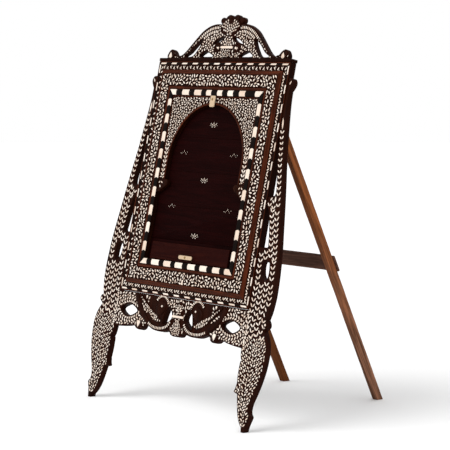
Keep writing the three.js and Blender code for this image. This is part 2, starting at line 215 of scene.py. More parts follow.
# The right-hand outlines of the carved pieces. The left ones are their mirror images.
WALL = CASE_HALF + 0.3
SIDE_BOARD = [
    [(322, -41), (330, -34), (331, -28), (328, -22), (323, -16)],
    [(328, 0), (332, 26), (333, 50), (331, 90), (326, 138), (316, 195), (302, 274), (283, 370),
     (267, 475), (264, 518)],
    [(270, 526), (274.5, 537), (270, 547), (263, 549.5)],
    [(WALL, 549.5), (WALL, 412)],
    [(262, 395), (266, 355), (272, 325), (279.5, 284), (278, 272)],
    [(271, 268), (WALL, 267)],
    [(WALL, 247), (262, 240)],
    [(269, 228), (275, 205), (281, 176), (285, 152)],
    [(282, 148), (WALL, 148)],
    [(WALL, -2), (252, -41)],
]
BOARD_SLOT = [(296, 72), (303, 84), (302, 104), (297, 117), (280, 117), (276, 104), (281, 84)]
LEG = [
    [(252, -42), (321, -42)],
    [(334, -60), (342, -84), (343, -105), (341, -130), (335, -158), (326, -186), (316, -212),
     (314, -228)],
    [(317, -236), (322.5, -242), (320, -251), (315, -266), (311, -290)],
    [(303, -290), (298, -270)],
    [(290, -262), (280, -246), (273, -226), (268, -208), (265.5, -197)],
    [(252, -193), (255, -185), (258, -172)],
    [(256, -150), (256.5, -124), (259.5, -119)],
    [(255, -110), (252.5, -96), (252, -84)],
]
APRON_EDGE = [
    [(12, -92.5), (21, -90), (24, -86)],
    [(32, -82), (52, -86), (72, -87), (94, -85), (112, -79), (122, -76)],
    [(130, -79), (134, -86), (142, -90.5), (152, -91), (162, -89), (169, -84)],
    [(180, -82), (198, -86), (222, -89), (250, -91)],
]
EYE_HOLE = [(168, -46), (184, -36), (202, -32), (220, -36), (236, -46), (220, -57),
            (202, -60.5), (184, -56)]
CRESCENT = [(35, -27), (46, -28), (54, -42), (58, -68), (42, -62), (26, -48)]
CREST_KNOB = [(236, 604), (229, 615), (219, 619), (208, 614), (199, 605)]
CREST_SWEEP = [(185, 602), (172, 606), (158, 616), (142, 631), (124, 648), (104, 665),
               (80, 677), (58, 682), (40, 682)]
CREST_HOLES = [
    [(163, 601), (146, 611), (126, 629), (106, 643), (101, 640), (112, 622), (132, 602)],
    [(100, 601), (92, 609), (80, 613), (66, 609), (52, 601)],
    [(57, 633), (44, 642), (26, 648), (17, 648), (28, 640), (42, 635)],
]
FRONT_HOLES = [BOARD_SLOT, EYE_HOLE, CRESCENT]
FAN_FOOT = [(0, 652), (13, 654), (25, 660), (32, 666.6)]
SHELL_LOBE, SHELL_SCROLL = (14, 693), (37, 691)
CORBEL = [
    [(167.2, 287.7), (136, 287.7)],
    [(131, 284.7), (129, 279.7), (132, 273.7), (140, 268.7)],
    [(150, 262.7), (158, 256.7), (167.2, 254.7)],
]


def front_outline():
    """Round the apron, the legs and the side boards, which read as one board."""
    leg, board = traced(LEG), traced(SIDE_BOARD)
    right = [*traced([[(0, -93)], *APRON_EDGE]), *reversed(leg[1:]), *board[:-2], (WALL, -0.6)]
    return right + [(-u, v) for u, v in reversed(right[1:])]


def pierced(shapes):
    """The rims of holes that are cut on both sides of the middle."""
    return [flipped(smooth_hole(shape), side) for shape in shapes for side in BOTH_SIDES]


def crest_outline():
    left_sweep, left_knob = mirrored([CREST_KNOB, CREST_SWEEP])
    return traced([[(0, CREST_BASE), (235, CREST_BASE)], CREST_KNOB, CREST_SWEEP,
                   [(36, 667), (-36, 667)], left_sweep[:1], left_sweep[1:], left_knob,
                   [(-235, CREST_BASE)]])


def arc(u, v, radius, start, end, steps=14):
    """A run of points round a centre, from one angle to another."""
    turn = (end - start) / steps
    return [(u + radius * math.cos(start + turn * i), v + radius * math.sin(start + turn * i))
            for i in range(steps + 1)]


def shell_outline():
    """Two lobes between two scrolls, on a flat seat."""
    (lobe, lobe_height), (scroll, scroll_height) = SHELL_LOBE, SHELL_SCROLL
    seat, neck, lobe_radius, scroll_radius = 35.5, 681, 13, 8.5
    return [(-seat, SHELL_SEAT), (seat, SHELL_SEAT), (scroll, neck),
            *arc(scroll, scroll_height, scroll_radius, -1.3, 2.4),
            *arc(lobe, lobe_height, lobe_radius, 0.35, 2.8),
            *arc(-lobe, lobe_height, lobe_radius, 0.35, 2.8),
            *arc(-scroll, scroll_height, scroll_radius, 0.742, 4.442), (-scroll, neck)]


class Region:
    """How far inside an outline with holes a point lies, kept on a one millimetre grid."""

    REACH, MARGIN, OFF_THE_GRID = 30.0, 2, -9.0

    def __init__(self, rim, holes=()):
        self.low = np.min(np.array(rim), axis=0) - self.MARGIN
        high = np.max(np.array(rim), axis=0) + self.MARGIN
        across = np.arange(self.low[0], high[0])
        along = np.arange(self.low[1], high[1])
        u, v = np.meshgrid(across, along, indexing="ij")
        near = np.full(u.shape, self.REACH ** 2)
        inside = np.zeros(u.shape, bool)
        for loop in [rim, *holes]:
            for a, b in zip(loop, list(loop[1:]) + [loop[0]]):
                self.edge(a, b, u, v, near, inside)
        self.room = np.where(inside, np.sqrt(near), -np.sqrt(near))

    def edge(self, a, b, u, v, near, inside):
        """Lets one edge of an outline tell on the grid."""
        (ax, ay), (bx, by) = a, b
        dx, dy = bx - ax, by - ay
        first = np.maximum(np.minimum(a, b) - self.low - self.REACH, 0).astype(int)
        last = (np.maximum(a, b) - self.low + self.REACH).astype(int) + 1
        part = (slice(first[0], last[0]), slice(first[1], last[1]))
        t = ((u[part] - ax) * dx + (v[part] - ay) * dy) / max(dx * dx + dy * dy, 1e-9)
        t = np.clip(t, 0, 1)
        off = (u[part] - ax - t * dx) ** 2 + (v[part] - ay - t * dy) ** 2
        near[part] = np.minimum(near[part], off)
        if ay != by:
            rows = (slice(None), slice(first[1], last[1]))
            crossed = (ay > v[rows]) != (by > v[rows])
            inside[rows] ^= crossed & (u[rows] < ax + (v[rows] - ay) * dx / dy)

    def __call__(self, u, v):
        i, j = int(round(u - self.low[0])), int(round(v - self.low[1]))
        if 0 <= i < self.room.shape[0] and 0 <= j < self.room.shape[1]:
            return self.room[i, j]
        return self.OFF_THE_GRID


# ---------------------------------------------------------------- solids
class Pile:
    """Closed solids gathered into one mesh, drawn in millimetres on the leaning front."""

    DOME_SIDES = 24
    STRAP_SECTION = [(-1, -1), (1, -1), (1, 0.35), (0.86, 0.8), (0.5, 1), (-0.5, 1),
                     (-0.86, 0.8), (-1, 0.35)]

    def __init__(self):
        self.points, self.faces = [], []

    def loft(self, rings):
        """Skins rings of equally many points, each anticlockwise seen from the last ring."""
        count, start = len(rings[0]), len(self.points)
        for ring in rings:
            self.points.extend(ring)
        self.faces.append([start + i for i in reversed(range(count))])
        for level in range(len(rings) - 1):
            low = start + level * count
            for i in range(count):
                j = (i + 1) % count
                self.faces.append([low + i, low + j, low + count + j, low + count + i])
        top = start + (len(rings) - 1) * count
        self.faces.append([top + i for i in range(count)])

    def pad(self, outline, level, profile):
        """A raised shape: the profile lists how far in and how high each ring lies."""
        outline = turned(outline)
        self.loft([
            [(u, v, level + height) for u, v in (shrunk(outline, inset) if inset else outline)]
            for inset, height in profile])

    def inlay(self, outline, level, proud=0.3):
        """One piece of inlay let into a face, with its upper edge eased."""
        self.pad(outline, level, [(0, -0.7), (0, proud * 0.4), (0.28, proud)])

    def stud(self, outline, level, profile, sunk=0.5):
        """A thicker piece of inlay, let in a little way, whose profile is listed from its face."""
        self.pad(outline, level, [(0, -sunk), *profile])

    def dome(self, u, v, across, along, level, height, turn=0.0):
        """A low oval boss. Each of its rings has a size and a share of the height."""
        cosine, sine = math.cos(turn), math.sin(turn)
        rings = []
        for size, rise in ((1, -1.0), (1, 0.15), (0.93, 0.5), (0.78, 0.78), (0.52, 0.94),
                           (0.2, 1.0)):
            ring = []
            for i in range(self.DOME_SIDES):
                angle = 2 * math.pi * i / self.DOME_SIDES
                x, y = across * size * math.cos(angle), along * size * math.sin(angle)
                lift = height * rise if rise > 0 else rise
                ring.append((u + x * cosine - y * sine, v + x * sine + y * cosine, level + lift))
            rings.append(ring)
        self.loft(rings)

    def strap(self, path, widths, level, height):
        """A raised strap along a path. The widths run evenly along it."""
        rings = []
        for i, (u, v) in enumerate(path):
            a, b = path[max(i - 1, 0)], path[min(i + 1, len(path) - 1)]
            dx, dy = b[0] - a[0], b[1] - a[1]
            n = math.hypot(dx, dy) or 1.0
            place = i / (len(path) - 1) * (len(widths) - 1)
            k = min(int(place), len(widths) - 2) if len(widths) > 1 else 0
            last = widths[min(k + 1, len(widths) - 1)]
            half = (widths[k] + (last - widths[k]) * (place - k)) / 2
            rings.append([
                (u - dy / n * half * side, v + dx / n * half * side,
                 level + (rise * height if rise > 0 else rise))
                for side, rise in self.STRAP_SECTION])
        self.loft(rings)

    def board(self, rim, holes, back, front, ease=1.2):
        """A board cut to an outline with holes, its edges eased all round."""
        curve = bpy.data.curves.new("cutting", "CURVE")
        curve.dimensions, curve.fill_mode = "2D", "BOTH"
        curve.extrude, curve.bevel_depth = (front - back) / 2 - ease, ease
        curve.bevel_resolution, curve.offset = 2, -ease
        for n, loop in enumerate([rim, *holes]):
            loop = turned(loop, n == 0)
            spline = curve.splines.new("POLY")
            spline.points.add(len(loop) - 1)
            for point, (u, v) in zip(spline.points, loop):
                point.co = (u, v, 0, 1)
            spline.use_cyclic_u = True
        blank = bpy.data.objects.new("cutting", curve)
        bpy.context.scene.collection.objects.link(blank)
        graph = bpy.context.evaluated_depsgraph_get()
        mesh = bpy.data.meshes.new_from_object(blank.evaluated_get(graph))
        start = len(self.points)
        middle = (front + back) / 2
        self.points.extend((p.co.x, p.co.y, p.co.z + middle) for p in mesh.vertices)
        self.faces.extend([start + i for i in face.vertices] for face in mesh.polygons)
        bpy.data.objects.remove(blank)
        bpy.data.curves.remove(curve)
        bpy.data.meshes.remove(mesh)

    def finish(self, name, finish, slot, body=FRONT, replaces=(), merge=False, level_feet=False):
        """Makes the piece, with its finish, riding on its body."""
        mesh = bpy.data.meshes.new(name)
        mesh.from_pydata(self.points, [], self.faces)
        if merge:
            weld_points(mesh, 0.004)
        mesh.transform(PANEL)
        if level_feet:
            cut_at_floor(mesh)
        mesh.materials.append(finish_for(finish))
        piece = shown(name, mesh, 38)
        if merge:
            even = piece.modifiers.new("even shading", "WEIGHTED_NORMAL")
            even.keep_sharp = True
        if replaces:
            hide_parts(*replaces)
        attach(piece, body)


def shown(name, mesh, sharp_degrees):
    """An object for a mesh, shaded smooth except over its sharper edges."""
    mesh.polygons.foreach_set("use_smooth", [True] * len(mesh.polygons))
    mesh.set_sharp_from_angle(angle=math.radians(sharp_degrees))
    mesh.update()
    piece = bpy.data.objects.new(name, mesh)
    bpy.context.scene.collection.objects.link(piece)
    return piece


def cut_at_floor(mesh):
    """Takes off, level, what would reach below the floor, and closes the cut."""
    bm = bmesh.new()
    bm.from_mesh(mesh)
    cut = bmesh.ops.bisect_plane(bm, geom=bm.verts[:] + bm.edges[:] + bm.faces[:], dist=1e-7,
                                 plane_co=(0, 0, 1e-4), plane_no=(0, 0, 1), clear_inner=True)
    rim = [part for part in cut["geom_cut"] if isinstance(part, bmesh.types.BMEdge)]
    bmesh.ops.holes_fill(bm, edges=rim, sides=0)
    bm.to_mesh(mesh)
    bm.free()


def weld_points(mesh, reach):
    """Joins points that lie within reach of each other, so that faces share their corners."""
    bm = bmesh.new()
    bm.from_mesh(mesh)
    bmesh.ops.remove_doubles(bm, verts=bm.verts, dist=reach)
    bmesh.ops.recalc_face_normals(bm, faces=bm.faces)
    bm.to_mesh(mesh)
    bm.free()


# ---------------------------------------------------------------- shapes of inlay
DROP = [(-0.5, 0), (-0.1, -0.34), (0.2, -0.5), (0.42, -0.34), (0.5, 0), (0.42, 0.34), (0.2, 0.5),
        (-0.1, 0.34)]
BAR = [(-0.5, -0.3), (-0.42, -0.5), (0.42, -0.5), (0.5, -0.3), (0.5, 0.3), (0.42, 0.5),
       (-0.42, 0.5), (-0.5, 0.3)]
CHEVRON_ARM = [(-0.5, 0), (-0.3, -0.42), (0.1, -0.5), (0.4, -0.36), (0.5, 0), (0.4, 0.36),
               (0.1, 0.5), (-0.3, 0.42)]


def laid(u, v, heading, points):
    """Points drawn about nought, turned to a heading and moved to a place."""
    cosine, sine = math.cos(heading), math.sin(heading)
    return [(u + x * cosine - y * sine, v + x * sine + y * cosine) for x, y in points]


def cut_to(shape, u, v, heading, length, width):
    """A piece of one of the shapes above, at a length and a width."""
    return laid(u, v, heading, [(x * length, y * width) for x, y in shape])


def leaf(u, v, heading, length, width, curl=0.0):
    """A pointed leaf centred on a point."""
    shape = ((0.0, 0.0), (0.2, 0.66), (0.47, 1.0), (0.76, 0.66), (1.0, 0.0))
    edge = []
    for t, half in shape:
        edge.append(((t - 0.5) * length, curl * length * (1 - (2 * t - 1) ** 2),
                     half * width / 2))
    points = [(x, y - half) for x, y, half in edge]
    points += [(x, y + half) for x, y, half in reversed(edge[1:-1])]
    return laid(u, v, heading, points)


def dot(u, v, radius, sides=7):
    return [(u + radius * math.cos(2 * math.pi * i / sides),
             v + radius * math.sin(2 * math.pi * i / sides)) for i in range(sides)]


class Inlay:
    """Bone let into one face. It keeps count of where pieces lie, so that no two touch.

    The room is a function that tells how far inside the face a point lies. Pieces keep a gap from
    each other, counted as larger across than up, and an edge from the rim of the face.
    """

    CELL, LEAST_ROOM = 5.0, 1.0

    def __init__(self, level, room, gap=1.2, edge=1.2, across=0.72, proud=None):
        self.pile = Pile()
        self.level, self.room = level, room
        self.proud = looks().proud if proud is None else proud
        self.gap, self.edge, self.across, self.cells = gap, edge, across, {}

    def clear(self, spots, gap=None):
        """Whether circles of room are free: inside the face and a gap from what lies there."""
        gap = self.gap if gap is None else gap
        for u, v, r in spots:
            if self.room(u, v) < r + self.edge:
                return False
            i, j = int(u // self.CELL), int(v // self.CELL)
            for k in range(i - 1, i + 2):
                for m in range(j - 1, j + 2):
                    for x, y, s in self.cells.get((k, m), ()):
                        off = self.across * (u - x)
                        if off * off + (v - y) ** 2 < (r + s + gap) ** 2:
                            return False
        return True

    def take(self, spots):
        """Keeps circles of room from being used again."""
        for u, v, r in spots:
            self.cells.setdefault((int(u // self.CELL), int(v // self.CELL)), []).append((u, v, r))

    def place(self, outline, spots, gap=None):
        """Lays a piece where the circles that it covers are free."""
        if self.clear(spots, gap):
            self.take(spots)
            self.pile.inlay(outline, self.level, self.proud)

    def leaf(self, u, v, heading, length, width, curl=0.0, gap=None):
        c, s = math.cos(heading), math.sin(heading)
        spots = [(u + c * length * t - s * curl * length * (1 - 4 * t * t),
                  v + s * length * t + c * curl * length * (1 - 4 * t * t), width * size)
                 for t, size in ((-0.3, 0.34), (0, 0.5), (0.28, 0.38))]
        self.place(leaf(u, v, heading, length, width, curl), spots, gap)

    def dot(self, u, v, radius):
        self.place(dot(u, v, radius), [(u, v, radius)])

    def bar(self, u, v, heading, length, width, gap=None):
        c, s = math.cos(heading), math.sin(heading)
        spots = [(u + c * length * t, v + s * length * t, width * 0.5) for t in (-0.3, 0, 0.3)]
        self.place(cut_to(BAR, u, v, heading, length, width), spots, gap)

    def chevron(self, u, v, heading, width, height, thick, gap=None):
        """Two plump leaves that meet in a point, which heads the way given."""
        arms = []
        for side in (-1, 1):
            tilt = heading + side * (math.pi - math.atan2(width / 2, height))
            reach = math.hypot(width / 2, height) * 0.5
            x = u + math.cos(tilt) * reach - math.sin(heading) * side * thick * 0.14
            y = v + math.sin(tilt) * reach + math.cos(heading) * side * thick * 0.14
            length, c, s = reach * 1.9, math.cos(tilt), math.sin(tilt)
            spots = [(x + c * length * t, y + s * length * t, thick * size)
                     for t, size in ((-0.28, 0.4), (0.05, 0.5), (0.36, 0.34))]
            if self.clear(spots, gap):
                arms.append((cut_to(CHEVRON_ARM, x, y, tilt, length, thick), spots))
        for shape, spots in arms:
            self.take(spots)
            self.pile.inlay(shape, self.level, self.proud)

    def fill(self, span, sizes, flow, seed, step=2.0):
        """Fills what is left with leaves and dots, from the largest size to the smallest."""
        chance = random.Random(seed)
        low_u, low_v, high_u, high_v = span
        spots = []
        for i in range(int((high_u - low_u) / step)):
            for j in range(int((high_v - low_v) / step)):
                u = low_u + (i + chance.random()) * step
                v = low_v + (j + chance.random()) * step
                if self.room(u, v) > self.LEAST_ROOM:
                    spots.append((u, v))
        for length, width in sizes:
            chance.shuffle(spots)
            for u, v in spots:
                if length <= width:
                    self.dot(u, v, width / 2)
                else:
                    turn = chance.choice((0.0, 0.0, 0.9, -0.9)) + chance.uniform(-0.2, 0.2)
                    curl = chance.choice((-0.1, 0.1))
                    self.leaf(u, v, flow(u, v) + turn, length, width, curl)

    def finish(self, name):
        self.pile.finish(name, "bone", "bone")


def whorls(pitch, row_height=0.87, wind=1.1):
    """A flow that winds round evenly spread centres, each way in turn."""
    def flow(u, v):
        row = round(v / (pitch * row_height))
        shift = 0.5 * (row % 2)
        column = round(u / pitch - shift)
        x, y = u - (column + shift) * pitch, v - row * pitch * row_height
        way = 1 if (row + column) % 2 else -1
        return math.atan2(y, x) + way * wind
    return flow


# ---------------------------------------------------------------- finishes
class Value:
    """A socket of a finish's nodes that Python's operators can work with."""

    def __init__(self, recipe, socket):
        self.recipe, self.socket = recipe, socket

    def maths(self, operation, first, second):
        node = self.recipe.node("ShaderNodeMath", {"operation": operation}, {0: first, 1: second})
        return Value(self.recipe, node.outputs[0])

    def __add__(self, other):
        return self.maths("ADD", self, other)

    def __radd__(self, other):
        return self.maths("ADD", other, self)

    def __sub__(self, other):
        return self.maths("SUBTRACT", self, other)

    def __rsub__(self, other):
        return self.maths("SUBTRACT", other, self)

    def __mul__(self, other):
        return self.maths("MULTIPLY", self, other)

    def __rmul__(self, other):
        return self.maths("MULTIPLY", other, self)


class Recipe:
    """Builds one finish out of shader nodes."""

    def __init__(self, name, fixed):
        self.material = bpy.data.materials.new(name)
        self.material.use_nodes = True
        self.tree = self.material.node_tree
        self.tree.nodes.clear()
        self.shader = self.node("ShaderNodeBsdfPrincipled", {}, fixed)
        self.node("ShaderNodeOutputMaterial", {}, {"Surface": self.out(self.shader, "BSDF")})

    def node(self, kind, settings, sockets):
        """Adds a node: its settings first, then the values or links of its sockets."""
        made = self.tree.nodes.new(kind)
        for name, value in settings.items():
            if name == "stops":
                ramp = made.color_ramp
                while len(ramp.elements) < len(value):
                    ramp.elements.new(0.5)
                for element, (position, colour) in zip(ramp.elements, value):
                    element.position, element.color = position, (*colour, 1)
            else:
                setattr(made, name, value)
        for name, value in sockets.items():
            self.feed(made, name, value)
        return made

    def feed(self, node, name, value):
        socket = node.inputs[name]
        if isinstance(value, Value):
            self.tree.links.new(value.socket, socket)
        elif hasattr(value, "__len__") and socket.type == "RGBA":
            socket.default_value = (*tuple(value)[:3], 1)
        else:
            socket.default_value = value

    def out(self, node, name=0):
        return Value(self, node.outputs[name])

    def surface(self, **changes):
        """Feeds the shader what changes over the surface."""
        for name, value in changes.items():
            self.feed(self.shader, name.replace("_", " "), value)

    def mixed(self, share, first, second):
        """The first colour, turning into the second as the share goes from 0 to 1."""
        node = self.node("ShaderNodeMix", {"data_type": "RGBA"}, {0: share, 6: first, 7: second})
        return self.out(node, 2)

    def stepped(self, value, low, high, to_low=0.0, to_high=1.0):
        """A value taken smoothly from one span to another."""
        settings = {"interpolation_type": "SMOOTHSTEP"}
        sockets = {"Value": value, "From Min": low, "From Max": high, "To Min": to_low,
                   "To Max": to_high}
        return self.out(self.node("ShaderNodeMapRange", settings, sockets))

    def place(self, turn=0.0, stretch=(1, 1, 1), shift=(0, 0, 0)):
        """The piece's own coordinates, turned about the stand's width, then stretched."""
        coordinates = self.out(self.node("ShaderNodeTexCoord", {}, {}), "Object")
        level = self.node("ShaderNodeMapping", {}, {"Vector": coordinates,
                                                    "Rotation": (turn, 0, 0)})
        sized = self.node("ShaderNodeMapping", {}, {"Vector": self.out(level), "Scale": stretch,
                                                    "Location": shift})
        return self.out(sized)

    def noise(self, vector, scale=1.0, detail=4.0, rough=0.55, warp=0.0):
        sockets = {"Vector": vector, "Scale": scale, "Detail": detail, "Roughness": rough,
                   "Distortion": warp}
        return self.out(self.node("ShaderNodeTexNoise", {}, sockets), 0)

    def bumped(self, height, strength, reach):
        sockets = {"Height": height, "Strength": strength, "Distance": reach}
        return self.out(self.node("ShaderNodeBump", {}, sockets), "Normal")


# Which of the three axes the grain of a piece runs along.
ACROSS, UPWARD = 0, 2


def toned(colour, share=1.0):
    """A colour made darker or paler by a share."""
    return tuple(c * share for c in colour)


def wood(name, dark, light, along, roughness=0.46, specular=0.02, coat=0.0, pore=0.5, seed=0.0,
         relief=0.35):
    """Wood of the leaning front: grain, broad figure and dark pores."""
    recipe = Recipe(name, {"Specular IOR Level": specular, "Coat Weight": coat,
                           "Coat Roughness": 0.22})
    fine, wide, thin = [620.0] * 3, [70.0] * 3, [1500.0] * 3
    fine[along], wide[along], thin[along] = 22.0, 6.0, 60.0
    shift = (seed, seed * 1.7, seed * 0.6)
    grain = recipe.noise(recipe.place(LEAN, fine, shift), detail=5.0, rough=0.6, warp=0.4)
    figure = recipe.noise(recipe.place(LEAN, wide, shift), detail=3.0, warp=1.4)
    pores = recipe.stepped(recipe.noise(recipe.place(LEAN, thin, shift), detail=2.0), 0.6, 0.74)
    tone = recipe.stepped(grain * 0.55 + figure * 0.6, 0.34, 0.86)
    colour = recipe.mixed(tone, dark, light)
    colour = recipe.mixed(pores * pore, colour, toned(dark, 0.35))
    recipe.surface(Base_Color=colour, Roughness=roughness + 0.16 * grain - 0.1 * figure,
                   Normal=recipe.bumped(grain * 0.7 - pores * 0.8, relief, 0.0004))
    return recipe.material


def bone_finish(name, light, shade, roughness=0.38):
    """Polished bone: each piece has its own tone, with faint marrow lines and darker flecks."""
    recipe = Recipe(name, {"Specular IOR Level": 0.35, "Coat Weight": 0.08,
                           "Coat Roughness": 0.2})
    lines = recipe.noise(recipe.place(LEAN, (900, 900, 160)), detail=3.0, warp=0.5)
    cloud = recipe.noise(recipe.place(LEAN, (120, 120, 120)), detail=3.0)
    own = recipe.out(recipe.node("ShaderNodeNewGeometry", {}, {}), "Random Per Island")
    tone = recipe.stepped(lines * 0.35 + cloud * 0.4 + own * 0.4, 0.3, 0.95)
    colour = recipe.mixed(tone, light, shade)
    flecks = recipe.stepped(lines, 0.62, 0.8)
    colour = recipe.mixed(flecks * 0.35, colour, toned(shade, 0.55))
    recipe.surface(Base_Color=colour, Roughness=roughness + 0.14 * cloud,
                   Normal=recipe.bumped(lines, 0.18, 0.0002))
    return recipe.material


def worn_wood(name, fresh, worn, along, low, high, roughness=0.58):
    """Plain wood of the struts. It turns from its fresh tones to its worn ones from one height
    down to another."""
    recipe = Recipe(name, {"Specular IOR Level": 0.06})
    turn = -STRUT_ANGLE
    fine, wide, deep, streak = [520.0] * 3, [60.0] * 3, [1300.0] * 3, [150.0] * 3
    fine[along], wide[along], deep[along], streak[along] = 14.0, 5.0, 26.0, 7.0
    grain = recipe.noise(recipe.place(turn, fine), detail=6.0, rough=0.62, warp=0.35)
    figure = recipe.noise(recipe.place(turn, wide), detail=3.0, warp=1.6)
    cracks = recipe.stepped(recipe.noise(recipe.place(turn, deep), detail=3.0), 0.58, 0.7)
    scuffs = recipe.noise(recipe.place(turn, (40, 40, 18)), detail=5.0, rough=0.65)
    coordinates = recipe.out(recipe.node("ShaderNodeTexCoord", {}, {}), "Object")
    height = recipe.out(recipe.node("ShaderNodeSeparateXYZ", {}, {0: coordinates}), "Z")
    wear = recipe.stepped(height + 0.28 * scuffs, low + 0.14, high + 0.14, 1.0, 0.0)
    streaks = recipe.noise(recipe.place(turn, streak, (2.0, 5.0, 1.0)), detail=4.0, warp=0.8)
    tone = recipe.stepped(grain * 0.25 + figure * 0.35 + streaks * 0.5, 0.4, 0.7)
    colour = recipe.mixed(wear, recipe.mixed(tone, *fresh), recipe.mixed(tone, *worn))
    colour = recipe.mixed(cracks * 0.55, colour, toned(worn[0], 0.4))
    recipe.surface(Base_Color=colour, Roughness=roughness + 0.2 * wear + 0.1 * grain,
                   Normal=recipe.bumped(grain - cracks, 0.5, 0.0005))
    return recipe.material


def metal(name, colour, rust, roughness, seed=0.0):
    """Old metal with darker patches where its polish has gone."""
    recipe = Recipe(name, {})
    spots = recipe.noise(recipe.place(0.0, (260, 260, 260), (seed, 0, 0)), detail=5.0, rough=0.6)
    fine = recipe.noise(recipe.place(0.0, (1400, 1400, 1400)), detail=3.0)
    patch = recipe.stepped(spots, 0.42, 0.66)
    recipe.surface(Base_Color=recipe.mixed(patch, colour, rust), Metallic=1.0 - patch * 0.7,
                   Roughness=roughness + 0.35 * patch + 0.1 * fine,
                   Normal=recipe.bumped(fine + patch, 0.25, 0.0002))
    return recipe.material


@functools.cache
def finish_for(name):
    """The named finish, made the first time it is asked for, from the colours in the panel."""
    tones = looks()
    dark, light, polish = tones.rosewood_dark, tones.rosewood_light, tones.polish
    maroon, teak, worn, rail = tones.maroon, tones.teak, tones.worn, tones.rail
    recipes = {
        "rosewood_carved": lambda: wood(
            "carved rosewood", toned(dark, 0.7), toned(light, 0.26), UPWARD, coat=polish, seed=7.7,
            relief=0.5),
        "rosewood_ground": lambda: wood(
            "inlaid rosewood ground", toned(dark, 0.6), toned(light, 0.18), UPWARD, seed=5.2),
        "moulding_across": lambda: wood(
            "rosewood moulding across", toned(dark), toned(light), ACROSS, roughness=0.36,
            coat=0.04, seed=2.4),
        "moulding_up": lambda: wood(
            "rosewood moulding up", toned(dark), toned(light), UPWARD, roughness=0.36, coat=0.04,
            seed=9.4),
        "ebony": lambda: wood(
            "ebony", (0.004, 0.0025, 0.002), toned(tones.ebony), ACROSS, roughness=0.4, coat=0.03,
            pore=0.3, seed=1.3),
        "maroon": lambda: wood(
            "stained maroon planks", toned(maroon, 0.35), toned(maroon), ACROSS, roughness=0.6,
            specular=0.015, pore=0.7, seed=4.4),
        "ledge": lambda: wood(
            "ledge wood", toned(maroon, 0.8), toned(tones.ledge), ACROSS, roughness=0.5, seed=6.6),
        "bone": lambda: bone_finish("bone inlay", toned(tones.bone), toned(tones.bone_shade)),
        "button_bone": lambda: bone_finish(
            "yellowed bone", toned(tones.button_bone), toned(tones.button_bone, 0.75), 0.34),
        "teak": lambda: worn_wood(
            "weathered teak", (toned(teak, 0.4), toned(teak, 1.25)),
            (toned(worn, 0.3), toned(worn, 1.6)), UPWARD, 0.08, 0.5),
        # Teak darkened all over for the left strut: painted shade, as that strut stands in shadow
        # behind the front
        "teak_with_painted_shade": lambda: worn_wood(
            "teak with painted shade", (toned(teak, 0.25), toned(teak, 0.7)),
            (toned(teak, 0.25), toned(teak, 0.55)), UPWARD, 0.08, 0.5),
        "rail": lambda: worn_wood(
            "aged rail wood", (toned(rail, 0.4), toned(rail)), (toned(rail, 0.4), toned(rail, 1.15)),
            ACROSS, 0.2, 0.5, 0.66),
        "iron": lambda: metal("blackened iron", (0.09, 0.085, 0.08), (0.05, 0.022, 0.012), 0.42),
        "brass": lambda: metal("aged brass", (0.42, 0.28, 0.11), (0.12, 0.07, 0.03), 0.32, 2.0),
    }
    return recipes[name]()


def dress(finish, *nodes, ease=0.0):
    """Gives frame nodes a finish, and eases their edges by a number of millimetres."""
    for name in nodes:
        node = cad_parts[name]
        if not node.material_slots:
            raise RuntimeError(f"{name} has no material slot")
        for place in node.material_slots:
            place.material = finish_for(finish)
        if ease:
            weld = node.modifiers.new("joined faces", "WELD")
            weld.merge_threshold = 0.00001
            eased = node.modifiers.new("eased edges", "BEVEL")
            eased.width, eased.segments = ease * MM, 3
            eased.limit_method, eased.angle_limit = "ANGLE", math.radians(40)


